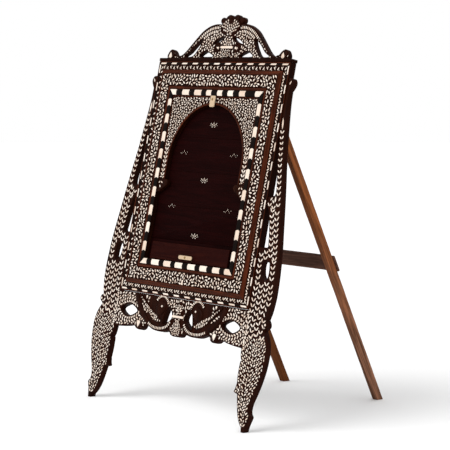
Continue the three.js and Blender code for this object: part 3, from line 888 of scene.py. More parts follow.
# ---------------------------------------------------------------- what a user would change
class StandFinishes(bpy.types.PropertyGroup):
    """Colours and sizes of the stand's finishes and inlay."""

    rosewood_dark: FloatVectorProperty(
        name="Rosewood, dark", description="Darkest tone of the rosewood", subtype="COLOR",
        size=3, min=0, max=1, default=(0.010, 0.0022, 0.0009))
    rosewood_light: FloatVectorProperty(
        name="Rosewood, light", description="Lightest tone of the rosewood", subtype="COLOR",
        size=3, min=0, max=1, default=(0.100, 0.020, 0.0062))
    ebony: FloatVectorProperty(
        name="Ebony", description="Tone of the black blocks", subtype="COLOR",
        size=3, min=0, max=1, default=(0.006, 0.0030, 0.0022))
    bone: FloatVectorProperty(
        name="Bone", description="Palest tone of the bone inlay", subtype="COLOR",
        size=3, min=0, max=1, default=(0.86, 0.76, 0.66))
    bone_shade: FloatVectorProperty(
        name="Bone, shaded", description="Deepest tone of the bone inlay", subtype="COLOR",
        size=3, min=0, max=1, default=(0.64, 0.47, 0.35))
    button_bone: FloatVectorProperty(
        name="Turn-button bone", description="Tone of the yellowed turn-buttons",
        subtype="COLOR", size=3, min=0, max=1, default=(0.60, 0.44, 0.28))
    maroon: FloatVectorProperty(
        name="Maroon", description="Tone of the stained planks in the niche", subtype="COLOR",
        size=3, min=0, max=1, default=(0.0125, 0.0011, 0.0010))
    ledge: FloatVectorProperty(
        name="Ledge", description="Tone of the ledge in the niche", subtype="COLOR",
        size=3, min=0, max=1, default=(0.026, 0.0036, 0.0018))
    teak: FloatVectorProperty(
        name="Teak", description="Tone of the struts where they are kept oiled",
        subtype="COLOR", size=3, min=0, max=1, default=(0.26, 0.080, 0.024))
    worn: FloatVectorProperty(
        name="Worn teak", description="Tone of the struts near the floor", subtype="COLOR",
        size=3, min=0, max=1, default=(0.21, 0.095, 0.055))
    rail: FloatVectorProperty(
        name="Cross rail", description="Tone of the rail between the struts", subtype="COLOR",
        size=3, min=0, max=1, default=(0.135, 0.062, 0.042))
    polish: FloatProperty(
        name="Polish", description="Strength of the polish on the rosewood", min=0, max=1,
        default=0.015, subtype="FACTOR")
    proud: FloatProperty(
        name="Inlay height", description="How far the bone stands proud of the wood",
        min=0.05, max=0.8, default=0.3)
    leaf_length: FloatProperty(
        name="Leaf length", description="Length of the leaves in the floral border, millimetres",
        min=4, max=16, default=10.4)
    chevron_pitch: FloatProperty(
        name="Chevron pitch", description="Spacing of the chevrons on the side boards, millimetres",
        min=8, max=24, default=13.2)
    seed: IntProperty(
        name="Seed", description="Sets how the leaves fall", min=0, default=11)


def looks():
    return bpy.context.scene.stand_finishes


# ---------------------------------------------------------------- the case and its borders
SIDES = ("bottom", "top", "left", "right")
LEVEL_SIDES = ("bottom", "top")


def case_room(u, v):
    """Distance in from the case's outer edge."""
    return min(CASE_HALF - abs(u), v, CASE_LENGTH - v)


def case_side(side):
    """A side of the case: its half length, and the point at a distance along and in from it."""
    half = CASE_HALF if side in LEVEL_SIDES else CASE_LENGTH / 2
    point = {
        "bottom": lambda along, inward: (along, inward),
        "top": lambda along, inward: (along, CASE_LENGTH - inward),
        "left": lambda along, inward: (-CASE_HALF + inward, CASE_LENGTH / 2 + along),
        "right": lambda along, inward: (CASE_HALF - inward, CASE_LENGTH / 2 + along),
    }[side]
    return half, point


class STAND_OT_case(bpy.types.Operator):
    """Finishes the case and adds its rounded mouldings"""

    bl_idname = "stand.case"
    bl_label = "Case and mouldings"

    # Each moulding's section, as distances in from the case's edge and heights.
    MOULDINGS = {
        "cyma": [(21.6, -0.2), (21.6, 1.5), (22.3, 2.3), (23.6, 2.7), (25.0, 3.0), (26.3, 3.9),
                 (27.4, 5.3), (28.8, 6.5), (30.4, 7.2), (31.6, 7.0), (32.2, 6.3), (32.2, -0.2)],
        "bead": [(63.9, 0.6), (63.9, 4.6), (64.6, 5.9), (66.0, 6.8), (67.7, 7.1), (69.4, 6.8),
                 (70.8, 5.9), (71.5, 4.6), (71.5, 0.6)],
        "edge_bead": [(0.5, -0.6), (0.5, 0.5), (1.0, 1.0), (1.7, 1.2), (2.4, 1.0), (2.9, 0.5),
                      (2.9, -0.6)],
    }

    def execute(self, context):
        for side in SIDES:
            member, way = ("rail", "across") if side in LEVEL_SIDES else ("stile", "up")
            dress("rosewood_ground", f"case_{member}_{side}", ease=0.8)
            dress("rosewood_ground", f"floral_border_{side}", f"chequer_fillet_{side}", ease=0.3)
            for name, section in self.MOULDINGS.items():
                self.moulding(side, f"{name}_{side}", f"moulding_{way}", section)
        dress("rosewood_ground", "crest_plinth", ease=1.6)
        return {"FINISHED"}

    def moulding(self, side, name, finish, section):
        """A mitred length of moulding along one side of the case."""
        half, point = case_side(side)
        pile = Pile()
        rings = [[(*point(end * (half - inward), inward), rise) for inward, rise in section]
                 for end in BOTH_SIDES]
        pile.loft(rings if side in ("top", "left") else rings[::-1])
        pile.finish(name, finish, "rosewood")


class STAND_OT_border(bpy.types.Operator):
    """Lays the outer border: bone and ebony dashes, and a vine of leaf pairs"""

    bl_idname = "stand.border"
    bl_label = "Outer border inlay"

    DASH, JOINT = 20.5, 0.85  # a bone dash's length, and the gap between it and the ebony
    DASH_ROW = (3.7, 7.5)  # the dashes' lower and upper edges, in from the case's edge
    VINE_ROW = (11.5, 21.0)

    def execute(self, context):
        bone, ebony = Inlay(0.0, case_room, gap=0.5, edge=-4.0), Pile()
        for side in SIDES:
            half, point = case_side(side)
            count, slant = (12, 3.2) if side in LEVEL_SIDES else (13, 1.2)
            pitch = (2 * half + 6) / count
            between = pitch - self.DASH - 2 * self.JOINT
            for i in range(count):
                middle = (i - (count - 1) / 2) * pitch
                bone.pile.inlay(self.dash(point, middle, self.DASH, slant), 0.0, bone.proud)
                if i + 1 < count:
                    ebony.inlay(self.dash(point, middle + pitch / 2, between, slant), 0.0,
                                bone.proud)
            self.vine(bone, side)
        bone.finish("border_inlay")
        ebony.finish("border_ebony", "ebony", "ebony")
        return {"FINISHED"}

    def dash(self, point, middle, length, slant):
        """The outline of a dash whose ends slant."""
        (low, high), half = self.DASH_ROW, length / 2
        corners = [(-half + slant / 2, low), (half + slant / 2, low), (half - slant / 2, high),
                   (-half - slant / 2, high)]
        return [point(middle + along, inward) for along, inward in corners]

    def vine(self, bone, side, pitch=13.4):
        """Pairs of leaves, turned each way in turn, with a small one between them."""
        half, point = case_side(side)
        reach = half - 12
        count = int(2 * reach / pitch)
        for i in range(count + 1):
            along = -reach + 2 * reach * i / count
            way = 1 if i % 2 else -1
            for shift, inward, turn, length, width, curl in (
                    (-2.8, 16.0, 55 * way, 9.4, 3.4, 0.1 * way),
                    (3.4, 16.8, -42 * way, 8.2, 3.3, -0.1 * way),
                    (0.8, 12.4 if way > 0 else 19.8, 12 * way, 3.2, 2.4, 0.0)):
                u, v = point(along + shift, inward)
                tip_u, tip_v = point(along + shift + math.cos(math.radians(turn)),
                                     inward + math.sin(math.radians(turn)))
                if self.VINE_ROW[0] < case_room(u, v) < self.VINE_ROW[1]:
                    bone.leaf(u, v, math.atan2(tip_v - v, tip_u - u), length, width, curl)


class STAND_OT_floral(bpy.types.Operator):
    """Fills the broad border with winding leaves, and sets the small vase at its foot"""

    bl_idname = "stand.floral"
    bl_label = "Floral border inlay"

    VASE = [(-3.8, 33.6), (3.8, 33.6), (3.4, 36.5), (2.4, 39.5), (3.2, 45.5), (-3.2, 45.5),
            (-2.4, 39.5), (-3.4, 36.5)]

    def execute(self, context):
        def room(u, v):
            inward = case_room(u, v)
            return min(inward - FLORAL_START - 0.6, FLORAL_END - inward)

        size = looks().leaf_length
        bone = Inlay(FLORAL_LEVEL, room, gap=1.7, edge=0.4)
        bone.place(self.VASE, [(0, 37, 3), (0, 42, 3)])
        bone.leaf(0, 53.5, UP, 9.5, 4.2)
        for side in BOTH_SIDES:
            bone.leaf(side * 5.2, 50, math.radians(90 - side * 38), 8, 2.8, -0.1 * side)
        bone.fill((-CASE_HALF, 0, CASE_HALF, CASE_LENGTH),
                  [(size, size * 0.38), (size * 0.78, size * 0.35), (size * 0.55, size * 0.3),
                   (size * 0.34, size * 0.25)], whorls(21.0), looks().seed, 2.2)
        bone.finish("floral_inlay")
        return {"FINISHED"}


class STAND_OT_chequer(bpy.types.Operator):
    """Sets the chequered fillet: bone and ebony blocks with rounded and notched ends"""

    bl_idname = "stand.chequer"
    bl_label = "Chequered fillet"

    # The hand-cut bone blocks of each side: where each starts and ends, along the side.
    TOP = [(-129.5, -102), (-81, -53), (-33.5, -13.5), (9.5, 29), (50, 71), (94, 117)]
    BOTTOM = [(-134.5, -104), (-84.5, -56), (-38.5, -9.5), (11.5, 40.5), (59.5, 86.5),
              (108.5, 135.5)]
    LEFT = [(103, 127), (150, 175), (193, 218.5), (240, 265), (287.5, 312.5), (336.5, 361),
            (380, 405), (427, 450), (471, 488.5)]
    RIGHT = [(104, 127.5), (155, 179), (204, 227.5), (250, 275), (302, 325), (350, 375),
             (402, 427), (453, 482.5)]
    CORNER = 154  # the mitred corner blocks of the level sides start here
    ROUND, JOINT = 2.6, 0.3  # how far a block's end is rounded, and half the gap between blocks
    STEPS = 6
    SECTION = [(0, -0.8), (0, 0.35), (0.35, 0.75), (1.0, 0.95)]

    def execute(self, context):
        self.bone, self.ebony = Pile(), Pile()
        for side, blocks in (("top", self.TOP), ("bottom", self.BOTTOM)):
            self.row(side, [(None, -self.CORNER), *blocks, (self.CORNER, None)], self.ROUND)
        for side, blocks in (("left", self.LEFT), ("right", self.RIGHT)):
            middle = CASE_LENGTH / 2
            self.row(side, [(a - middle, b - middle) for a, b in blocks], -self.ROUND)
        self.bone.finish("chequer_bone", "bone", "bone")
        self.ebony.finish("chequer_ebony", "ebony", "ebony")
        return {"FINISHED"}

    def row(self, side, blocks, bulge):
        """One side's blocks, bone and ebony in turn. None stands for the mitred end of a side."""
        half, point = case_side(side)

        def end_of(at, way):
            """Where a block starts (-1) or stops (1) along the side, at each distance in."""
            def edge(inward):
                if at is None:
                    return way * (half - inward - 0.4)
                across = (inward - (FILLET_START + FILLET_WIDTH / 2)) / (FILLET_WIDTH / 2)
                return at - way * self.JOINT - bulge * (1 - across * across)
            return edge

        ends = [at for block in blocks for at in block if at is not None]
        if blocks[0][0] is not None:
            ends = [None, *ends, None]
        ebony_blocks = list(zip(ends[::2], ends[1::2]))
        rows = [FILLET_START + FILLET_WIDTH * k / self.STEPS for k in range(self.STEPS + 1)]
        for pile, pieces in ((self.bone, blocks), (self.ebony, ebony_blocks)):
            for first, last in pieces:
                start, stop = end_of(first, -1), end_of(last, 1)
                outline = [point(start(d), d) for d in rows]
                outline += [point(stop(d), d) for d in reversed(rows)]
                pile.pad(outline, FILLET_LEVEL, self.SECTION)


# ---------------------------------------------------------------- the niche
def open_room(u, v):
    """Room for a face whose rim is nowhere near."""
    return 9.0


def arch_room(u, v):
    """Distance outside the arch's edge."""
    return abs(u) - ARCH_HALF if v < ARCH_SPRING else math.hypot(u, v - ARCH_SPRING) - ARCH_HALF


class STAND_OT_arch(bpy.types.Operator):
    """Finishes the arch panel, its rounded arris, its inlay and the corbels under it"""

    bl_idname = "stand.arch"
    bl_label = "Arch and corbels"

    ARRIS, RIM = 4.4, 2.0  # the widths of the rounded edge of the arch and of the thin rim
    CORBEL_BOSS = (138.5, 280)

    def execute(self, context):
        dress("rosewood_ground", "arch_panel")
        foot = ARCH_FOOT + 0.4
        edge = [(ARCH_HALF, foot), (ARCH_HALF, ARCH_SPRING),
                *arc(0, ARCH_SPRING, ARCH_HALF, 0, math.pi, 64)[1:], (-ARCH_HALF, foot)]
        arris = Pile()
        arris.strap(beside(edge, -2.3), [self.ARRIS], ARCH_LEVEL, 1.5)
        arris.finish("arch_arris", "moulding_up", "rosewood")
        rim = Pile()
        rim.strap([(u, 498.0) for u in (-166.6, 0, 166.6)], [self.RIM], ARCH_LEVEL, 0.7)
        for side in BOTH_SIDES:
            rim.strap([(side * 166.3, v) for v in (ARCH_FOOT + 1, 400, 496.8)], [self.RIM],
                      ARCH_LEVEL, 0.7)
        rim.finish("spandrel_rim", "moulding_up", "rosewood")
        self.spandrel()
        for side, name in ((-1, "corbel_left"), (1, "corbel_right")):
            self.corbel(side, name)
        return {"FINISHED"}

    def spandrel(self):
        """Chevrons down both edges, a wreath of leaves round the arch, and small leaves between."""
        def room(u, v):
            return min(164.8 - abs(u), 496.5 - v, v - ARCH_FOOT - 1.0, arch_room(u, v) - 5.0)

        bone = Inlay(ARCH_LEVEL, room, edge=0.2)
        for side in BOTH_SIDES:
            for i in range(8):
                bone.chevron(side * 156.3, 296 + i * 10.8, DOWN, 13, 7.5, 3.6, 0.3)
        radius, leaves = ARCH_HALF + 8.6, 34
        for i in range(leaves):
            angle = math.radians(20 + i * 140 / (leaves - 1))
            bone.leaf(radius * math.cos(angle), ARCH_SPRING + radius * math.sin(angle),
                      angle + 0.5 * (1 if angle < math.pi / 2 else -1), 6.8, 3.0)
        bone.fill((-PANEL_HALF, ARCH_FOOT, PANEL_HALF, PANEL_TOP),
                  [(7.6, 3.1), (5.8, 2.8), (4.0, 2.4), (2.4, 2.4)], whorls(15.0),
                  looks().seed + 1, 1.8)
        bone.finish("spandrel_inlay")

    def corbel(self, side, name):
        """A small capital under a foot of the arch, with a boss and four leaves."""
        shape = flipped(traced(CORBEL), side)
        front = 5.0
        carved = Pile()
        carved.board(shape, [], -5.7, front, 1.4)
        carved.dome(side * self.CORBEL_BOSS[0], self.CORBEL_BOSS[1], 8.5, 7.5, front, 1.6)
        carved.finish(name + "_carved", "rosewood_carved", "rosewood", merge=True,
                      replaces=(name,))
        bone = Inlay(front, Region(turned(shape)), gap=0.5, edge=0.8)
        for u, v, turn in ((152.5, 279.5, 40), (161.5, 279.5, 140), (157, 269, 60),
                           (163, 262, 30)):
            bone.leaf(side * u, v, math.radians(turn if side > 0 else 180 - turn), 8, 3.4)
        bone.finish(name + "_inlay")


class STAND_OT_niche(bpy.types.Operator):
    """Finishes the planks and the ledge, sets the small sprigs and the tongues of the planks"""

    bl_idname = "stand.niche"
    bl_label = "Niche"

    PLANKS = [f"backboard_plank_{i}" for i in range(1, 6)]
    TONGUE_HALF, TONGUE_THICKNESS, TONGUE_INSET = 3, 1.6, 3
    SPRIGS = [(0, 430), (0, 292.5), (0, 155)]
    WORN_SPRIGS = [(-97.5, 357.5), (97.5, 357.5), (-110, 222.5), (110, 222.5)]

    def execute(self, context):
        dress("maroon", *self.PLANKS, ease=0.7)
        dress("ledge", "ledge_board", ease=1.5)
        self.tongues()
        bone = Inlay(PLANK_LEVEL, open_room, gap=0.1, proud=0.15)
        for u, v in self.SPRIGS:
            self.sprig(bone, u, v)
        for u, v in self.WORN_SPRIGS:
            self.worn_sprig(bone, u, v)
        bone.finish("plank_sprigs")
        return {"FINISHED"}

    def tongues(self):
        """Loose tongues in the joints of the planks, so that no light comes through."""
        planks = []
        for name in self.PLANKS:
            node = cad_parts[name]
            spots = [PANEL.inverted() @ node.matrix_world @ p.co for p in node.data.vertices]
            planks.append([(min(axis), max(axis)) for axis in zip(*spots)])
        planks.sort(key=lambda plank: plank[1])
        pile = Pile()
        for (across, below, depth), (_, above, _) in zip(planks, planks[1:]):
            joint, middle = (below[1] + above[0]) / 2, sum(depth) / 2
            half = across[1] - self.TONGUE_INSET
            low, high = joint - self.TONGUE_HALF, joint + self.TONGUE_HALF
            pile.loft([[(-half, low, w), (half, low, w), (half, high, w), (-half, high, w)]
                       for w in (middle - self.TONGUE_THICKNESS / 2,
                                 middle + self.TONGUE_THICKNESS / 2)])
        pile.finish("plank_tongues", "maroon", "dark_maroon_wood")

    def worn_sprig(self, bone, u, v):
        """What is left of a sprig whose thinnest pieces have fallen out."""
        bone.leaf(u, v + 4.5, UP, 4.6, 1.5)
        for shift, rise in ((-13, 0), (-8.2, -2), (-4.6, 1.5), (4.8, 1.0), (8.6, -2.4), (12.6, 2.4)):
            bone.dot(u + shift, v + rise, 0.8)

    def sprig(self, bone, u, v):
        """A small flowering sprig of leaves and seeds."""
        bone.leaf(u, v + 4.5, UP, 6.5, 2.2)
        bone.dot(u, v - 1.2, 0.9)
        for side in BOTH_SIDES:
            bone.leaf(u + side * 4.6, v + 1.0, math.radians(90 - side * 48), 6.5, 2.0)
            bone.leaf(u + side * 10.5, v + 3.6, math.radians(90 - side * 20), 5.2, 1.8)
            bone.leaf(u + side * 4.4, v - 4.4, math.radians(90 + side * 60), 4.6, 1.7)
            bone.dot(u + side * 8.2, v - 2.0, 0.9)
            bone.dot(u + side * 13.2, v - 0.4, 0.8)


class STAND_OT_buttons(bpy.types.Operator):
    """Shapes the two bone turn-buttons and finishes their brass pins"""

    bl_idname = "stand.buttons"
    bl_label = "Turn-buttons"

    BACK, FRONT, PIN_HOLE = 8.0, 11.5, 2.1

    def execute(self, context):
        self.button("top_turn_button", "top_button", 9, 472, 500, 2, 491)
        self.button("bottom_turn_button", "bottom_button", 26, 94.7, 104.3, 3, 99.5)
        dress("brass", "top_button_pin", "bottom_button_pin")
        return {"FINISHED"}

    def button(self, node, body, half, low, high, corner, pivot):
        """A bone plate with cut corners, on the pin that it turns on."""
        edge = [(-half, low + corner), (-half + corner, low), (half - corner, low),
                (half, low + corner), (half, high - corner), (half - corner, high),
                (-half + corner, high), (-half, high - corner)]
        hole = arc(0, pivot, self.PIN_HOLE, 0, 2 * math.pi, 20)[:-1]
        plate = Pile()
        plate.board(edge, [hole], self.BACK, self.FRONT, 1.1)
        plate.finish(node + "_plate", "button_bone", "bone", body=body, replaces=(node,),
                     merge=True)


# ---------------------------------------------------------------- crest
class STAND_OT_crest(bpy.types.Operator):
    """Carves the pierced crest and its lobed shell, and lays their inlay"""

    bl_idname = "stand.crest"
    bl_label = "Crest"

    KNOB = (218.5, 604.5)
    RING, RING_RADIUS = (38.0, 622.5), 9.0
    BAND = 623.5  # the height of the bone bar across the vase
    VASE = [(-12, 598), (12, 598), (16, 604), (18.5, 611), (17, 617), (12, 620.5), (8, 627),
            (10.5, 633), (-10.5, 633), (-8, 627), (-12, 620.5), (-17, 617), (-18.5, 611),
            (-16, 604)]
    VASE_RISE, FAN_RISE = 2.3, 4.3
    FAN_EDGE = [(36, 676), (34.5, 685), (27, 691), (19, 696), (11, 697.5), (4, 695)]

    def execute(self, context):
        outline, holes = crest_outline(), pierced(CREST_HOLES)
        sweep = smooth_run([(197, 606), *CREST_SWEEP[:-1], (44, 682)])
        self.carve(outline, holes, sweep)
        self.inlay(outline, holes, sweep)
        self.vase_inlay()
        self.shell()
        return {"FINISHED"}

    def carve(self, outline, holes, sweep):
        """The pierced board, its rims, knobs and rings, and the vase in its middle."""
        carved = Pile()
        carved.board(outline, holes, CREST_BACK, CREST_LEVEL, 1.3)
        rim, (knob, knob_height), (ring, ring_height) = beside(sweep, 3.0), self.KNOB, self.RING
        for side in BOTH_SIDES:
            carved.strap(flipped(rim, side), [3.2, 4.4, 4.6], CREST_LEVEL, 1.7)
            carved.dome(side * knob, knob_height, 13.5, 12.0, CREST_LEVEL, 3.4)
            for hole in CREST_HOLES:
                loop = turned(flipped(smooth_hole(hole), side))
                carved.strap(beside(loop + loop[:1], -2.0), [2.2], CREST_LEVEL, 0.9)
            carved.strap(arc(side * ring, ring_height, self.RING_RADIUS, UP,
                             math.radians(90 + side * 300), 20), [3.4], CREST_LEVEL, 1.6)
        carved.pad(self.VASE, CREST_LEVEL, [(0, -0.6), (0, 0.8), (1.2, 1.9),
                                            (3.0, self.VASE_RISE)])
        carved.finish("crest_carved", "rosewood_carved", "rosewood", merge=True,
                      replaces=("crest",))

    def inlay(self, outline, holes, sweep):
        """Ladders of bars along the sweep, bone drops on the knobs, and leaves between."""
        foot = FAN_FOOT + [(-u, v) for u, v in reversed(FAN_FOOT[1:])]
        bone = Inlay(CREST_LEVEL, Region(outline, [*holes, foot]), gap=1.1, edge=1.4)
        bone.take([(u, self.BAND, 3.4) for u in range(-20, 21, 4)])
        bone.pile.stud(cut_to(BAR, 0, self.BAND, 0, 46, 6.2), CREST_LEVEL, [(0, 2.4), (0.4, 3.0)])
        (knob, knob_height), (ring, ring_height) = self.KNOB, self.RING
        for side in BOTH_SIDES:
            bone.take([(side * knob, knob_height, 12.5)])
            bone.pile.stud(cut_to(DROP, side * knob, knob_height - 1, DOWN, 15.5, 12),
                           CREST_LEVEL + 3.0, [(0, 0.3), (0.9, 1.1), (2.2, 1.4)], 1.0)
            bone.pile.stud(dot(side * 33.0, 622.0, 3.2, 9), CREST_LEVEL, [(0, 0.8), (0.8, 1.4)])
            bone.take([(side * ring + self.RING_RADIUS * math.cos(k * 0.4),
                        ring_height + self.RING_RADIUS * math.sin(k * 0.4), 1.8)
                       for k in range(16)])
            for inward, start in ((9.2, 2), (19.0, 60)):
                for u, v, heading in stations(beside(sweep, inward), 6.4, start, 3):
                    bone.bar(side * u, v, math.pi / 2 + side * heading, 6.4, 3.3, 0.4)
        bone.fill((-240, 596, 240, 684), [(8.0, 3.6), (5.4, 3.2), (3.2, 3.2)], whorls(17.0),
                  looks().seed + 2, 1.7)
        bone.finish("crest_inlay")

    def vase_inlay(self):
        """Leaves that spread up from the foot of the vase."""
        urn = Inlay(CREST_LEVEL + self.VASE_RISE, Region(turned(self.VASE)), gap=0.8, edge=0.9)
        urn.take([(u, self.BAND, 3.4) for u in range(-12, 13, 4)])
        urn.fill((-19, 597, 19, 634), [(5.0, 2.6), (3.6, 2.4), (2.2, 2.2)],
                 lambda u, v: math.atan2(v - 590, u or 0.1), looks().seed + 8, 1.6)
        urn.finish("crest_vase_inlay")

    def shell(self):
        """The lobed shell with a raised fan of leaves in its middle."""
        carved = Pile()
        carved.board(shell_outline(), [], SHELL_BACK, SHELL_LEVEL, 1.6)
        for side in BOTH_SIDES:
            carved.dome(side * 14, 693.0, 11.6, 11.6, SHELL_LEVEL, 3.4)
            carved.dome(side * 36.8, 690.8, 7.6, 7.6, SHELL_LEVEL, 2.8)
        half = [*FAN_FOOT, *self.FAN_EDGE]
        fan = half + [(0, 692.5)] + [(-u, v) for u, v in reversed(half[1:])]
        carved.pad(fan, SHELL_LEVEL, [(0, -0.6), (0, 3.3), (0.7, 4.0), (1.8, self.FAN_RISE)])
        carved.finish("crest_shell_carved", "rosewood_carved", "rosewood", merge=True,
                      replaces=("crest_shell",))
        bone = Inlay(SHELL_LEVEL + self.FAN_RISE, Region(turned(fan)), gap=0.9, edge=0.7,
                     across=0.8)
        self.rays(bone)
        bone.finish("shell_inlay")

    def rays(self, bone, foot=653, rings=7, ring_width=6.6):
        """Leaves in rings that open out from the foot of the fan."""
        for ring in range(1, rings + 1):
            radius, count = ring_width * ring, 2 + 2 * ring
            for k in range(count):
                turn = math.radians(6 + 168 * (k + 0.5) / count)
                bone.leaf(radius * math.cos(turn), foot + radius * math.sin(turn), turn, 6.2, 3.6,
                          0.0, 0.5)


# ---------------------------------------------------------------- side boards, legs and apron
@functools.cache
def front_region():
    return Region(turned(front_outline()), pierced(FRONT_HOLES))


def front_room(u, v):
    """Distance inside the front board, which is the same on both sides of its middle."""
    return front_region()(abs(u), v)


def mirror_heading(turn, side):
    """A heading drawn for the right-hand side, as it runs on the side asked for."""
    return turn if side > 0 else math.pi - turn


def on_side(side, inner, low, outer, high):
    """The bounds of a stretch of the right-hand side, moved to the side asked for."""
    return (inner, low, outer, high) if side > 0 else (-outer, low, -inner, high)


def spans(room, v, first, last, edge):
    """The stretches across a board at one height that inlay may take."""
    found, start = [], None
    for k in range(int(last - first) + 2):
        u = first + k
        inside = u <= last and room(u, v) > edge
        if inside and start is None:
            start = u
        if start is not None and not inside:
            found.append((start, u - 1))
            start = None
    return found


def chevron_columns(bone, side, low, high, pitch, column):
    """Columns of chevrons that follow the limbs of a side board down, side by side."""
    narrowest, farthest_step = 6, 6
    v, above = high, []
    while v > low:
        here = []
        for first, last in spans(front_room, v, 252, 340, bone.edge + 0.3):
            width = last - first
            if width < narrowest:
                continue
            count = max(1, round(width / column))
            across = width / count
            for k in range(count):
                here.append((first + across * (k + 0.5), across, k % 2))
        for middle, across, odd in here:
            near = [m for m, _, _ in above if abs(m - middle) < farthest_step]
            lean = math.atan2(near[0] - middle, pitch) if near else 0.0
            wide = min(across * 0.84, column * 0.86)
            rise = min(wide * 0.62, pitch * 0.72)
            bone.chevron(side * middle, v - odd * pitch * 0.45 - rise * 0.4, DOWN - side * lean,
                         wide, rise, 3.3, 0.3)
        above = here
        v -= pitch


class STAND_OT_front_board(bpy.types.Operator):
    """Cuts the side boards, the legs and the apron, and carves the apron's scrolls and vase"""

    bl_idname = "stand.front_board"
    bl_label = "Side boards, legs and apron"

    SWEEP = [(26, -56), (36, -70), (54, -77.5), (74, -79.5), (96, -77), (116, -69), (136, -56),
             (154, -40), (168, -24), (176, -8)]
    LIMB = [(162, -6), (146, -18), (126, -33), (104, -47), (84, -57), (70, -61)]
    VASE = [(-10, -92), (10, -92), (18, -86), (22, -78), (20, -70), (13, -62), (10, -52),
            (14, -47), (14, -42), (10, -38), (15, -28), (18, -20), (13, -12), (-13, -12),
            (-18, -20), (-15, -28), (-10, -38), (-14, -42), (-14, -47), (-10, -52), (-13, -62),
            (-20, -70), (-22, -78), (-18, -86)]

    SCROLL, SCROLL_RADIUS = (70, -26), 26
    BIRD, BIRD_TILT = (74, -31), -34
    KNOB = (151, -79)
    EYE_RIM, CRESCENT_RIM = 3.4, 2.2

    def execute(self, context):
        carved = Pile()
        carved.board(front_outline(), pierced(FRONT_HOLES), BOARD_LEVEL - BOARD_DEPTH,
                     BOARD_LEVEL, 1.4)
        sweep, limb = smooth_run(self.SWEEP), smooth_run(self.LIMB)
        for side in BOTH_SIDES:
            carved.strap(flipped(sweep, side), [7, 8.5, 9, 12, 13, 11], BOARD_LEVEL, 2.2)
            carved.strap(flipped(limb, side), [3, 9, 12, 17, 20, 6], BOARD_LEVEL, 2.4)
            carved.dome(side * self.BIRD[0], self.BIRD[1], 21, 15.5, BOARD_LEVEL, 4.2,
                        side * math.radians(self.BIRD_TILT))
            carved.strap(self.scroll(side), [5, 6.5, 5], BOARD_LEVEL, 1.6)
            carved.dome(side * self.KNOB[0], self.KNOB[1], 14, 11, BOARD_LEVEL, 3.4)
            carved.dome(side * 325, -28, 6.0, 8.5, BOARD_LEVEL, 1.6)
            for hole, width in ((EYE_HOLE, self.EYE_RIM), (CRESCENT, self.CRESCENT_RIM)):
                loop = turned(flipped(smooth_hole(hole), side))
                carved.strap(beside(loop + loop[:1], -2.4), [width], BOARD_LEVEL, 1.4)
        carved.pad(self.VASE, BOARD_LEVEL, [(0, -0.6), (0, 0.9), (1.2, 2.0), (3.0, 2.5)])
        carved.finish("front_board_carved", "rosewood_carved", "rosewood", merge=True,
                      replaces=("side_board_left", "side_board_right", "front_leg_left",
                                "front_leg_right", "apron"), level_feet=True)
        return {"FINISHED"}

    @classmethod
    def scroll(cls, side, start=62, end=76):
        """The run of a scroll that curls over the bird's body, between two angles off the top."""
        return arc(side * cls.SCROLL[0], cls.SCROLL[1], cls.SCROLL_RADIUS,
                   math.radians(90 - side * start), math.radians(90 + side * end), 18)


class STAND_OT_side_inlay(bpy.types.Operator):
    """Lays the columns of chevrons and the pointed leaves on the side boards"""

    bl_idname = "stand.side_inlay"
    bl_label = "Side board inlay"

    FORKS = [(283, 262), (292, 125), (262, 236)]  # a leaf lies where the limbs of a board part

    def execute(self, context):
        for side, name in ((-1, "left"), (1, "right")):
            bone = Inlay(BOARD_LEVEL, front_room, gap=0.5, edge=1.6)
            middle, top, length = (262.5, 424, 28) if side > 0 else (260.5, 452, 30)
            bone.leaf(side * middle, top + 17, math.radians(90 + side * 7), length, 5.4)
            for u, v in self.FORKS:
                bone.leaf(side * u, v, UP, 15, 5.0)
            chevron_columns(bone, side, -58, top - 4, looks().chevron_pitch, 17.5)
            bone.leaf(side * 265, 538, math.radians(60 if side > 0 else 120), 11, 3.6)
            bone.pile.stud(dot(side * 324.5, -29, 2.9, 9), BOARD_LEVEL + 1.2,
                           [(0, 0.4), (0.6, 0.9)], 0.9)
            bone.finish(f"side_board_{name}_inlay")
        return {"FINISHED"}


class STAND_OT_leg_inlay(bpy.types.Operator):
    """Lays the herringbone of leaves that covers the legs"""

    bl_idname = "stand.leg_inlay"
    bl_label = "Leg inlay"

    TOP, ANKLE, PITCH = -52.0, -262, 11.6
    INNER, OUTER = 256, 344

    def execute(self, context):
        for side, name in ((-1, "left"), (1, "right")):
            bone = Inlay(BOARD_LEVEL, front_room, gap=1.3, edge=1.6)
            v = self.TOP
            while v > self.ANKLE:
                for first, last in spans(front_room, v, self.INNER, self.OUTER - 1, 1.0):
                    middle = (first + last) / 2 + (4 if v > -130 else 0)
                    self.row(bone, side, middle, v, int((last - first) / 2 / 10.4) + 1)
                v -= self.PITCH
            bone.fill(on_side(side, self.INNER, -264, self.OUTER, -62), [(6.6, 3.2), (3.0, 3.0)],
                      lambda u, v: UP, looks().seed + 5, 2.2)
            bone.finish(f"front_leg_{name}_inlay")
        return {"FINISHED"}

    def row(self, bone, side, middle, v, count):
        """One row of the herringbone, which falls away on both sides of the middle."""
        for k in range(count):
            for way in BOTH_SIDES:
                off = (k + 0.5) * 10.8
                bone.leaf(side * (middle + way * off), v - off * 0.7,
                          mirror_heading(math.radians(90 - way * 50), side), 10.2, 3.6,
                          0.06 * way * side, 0.8)


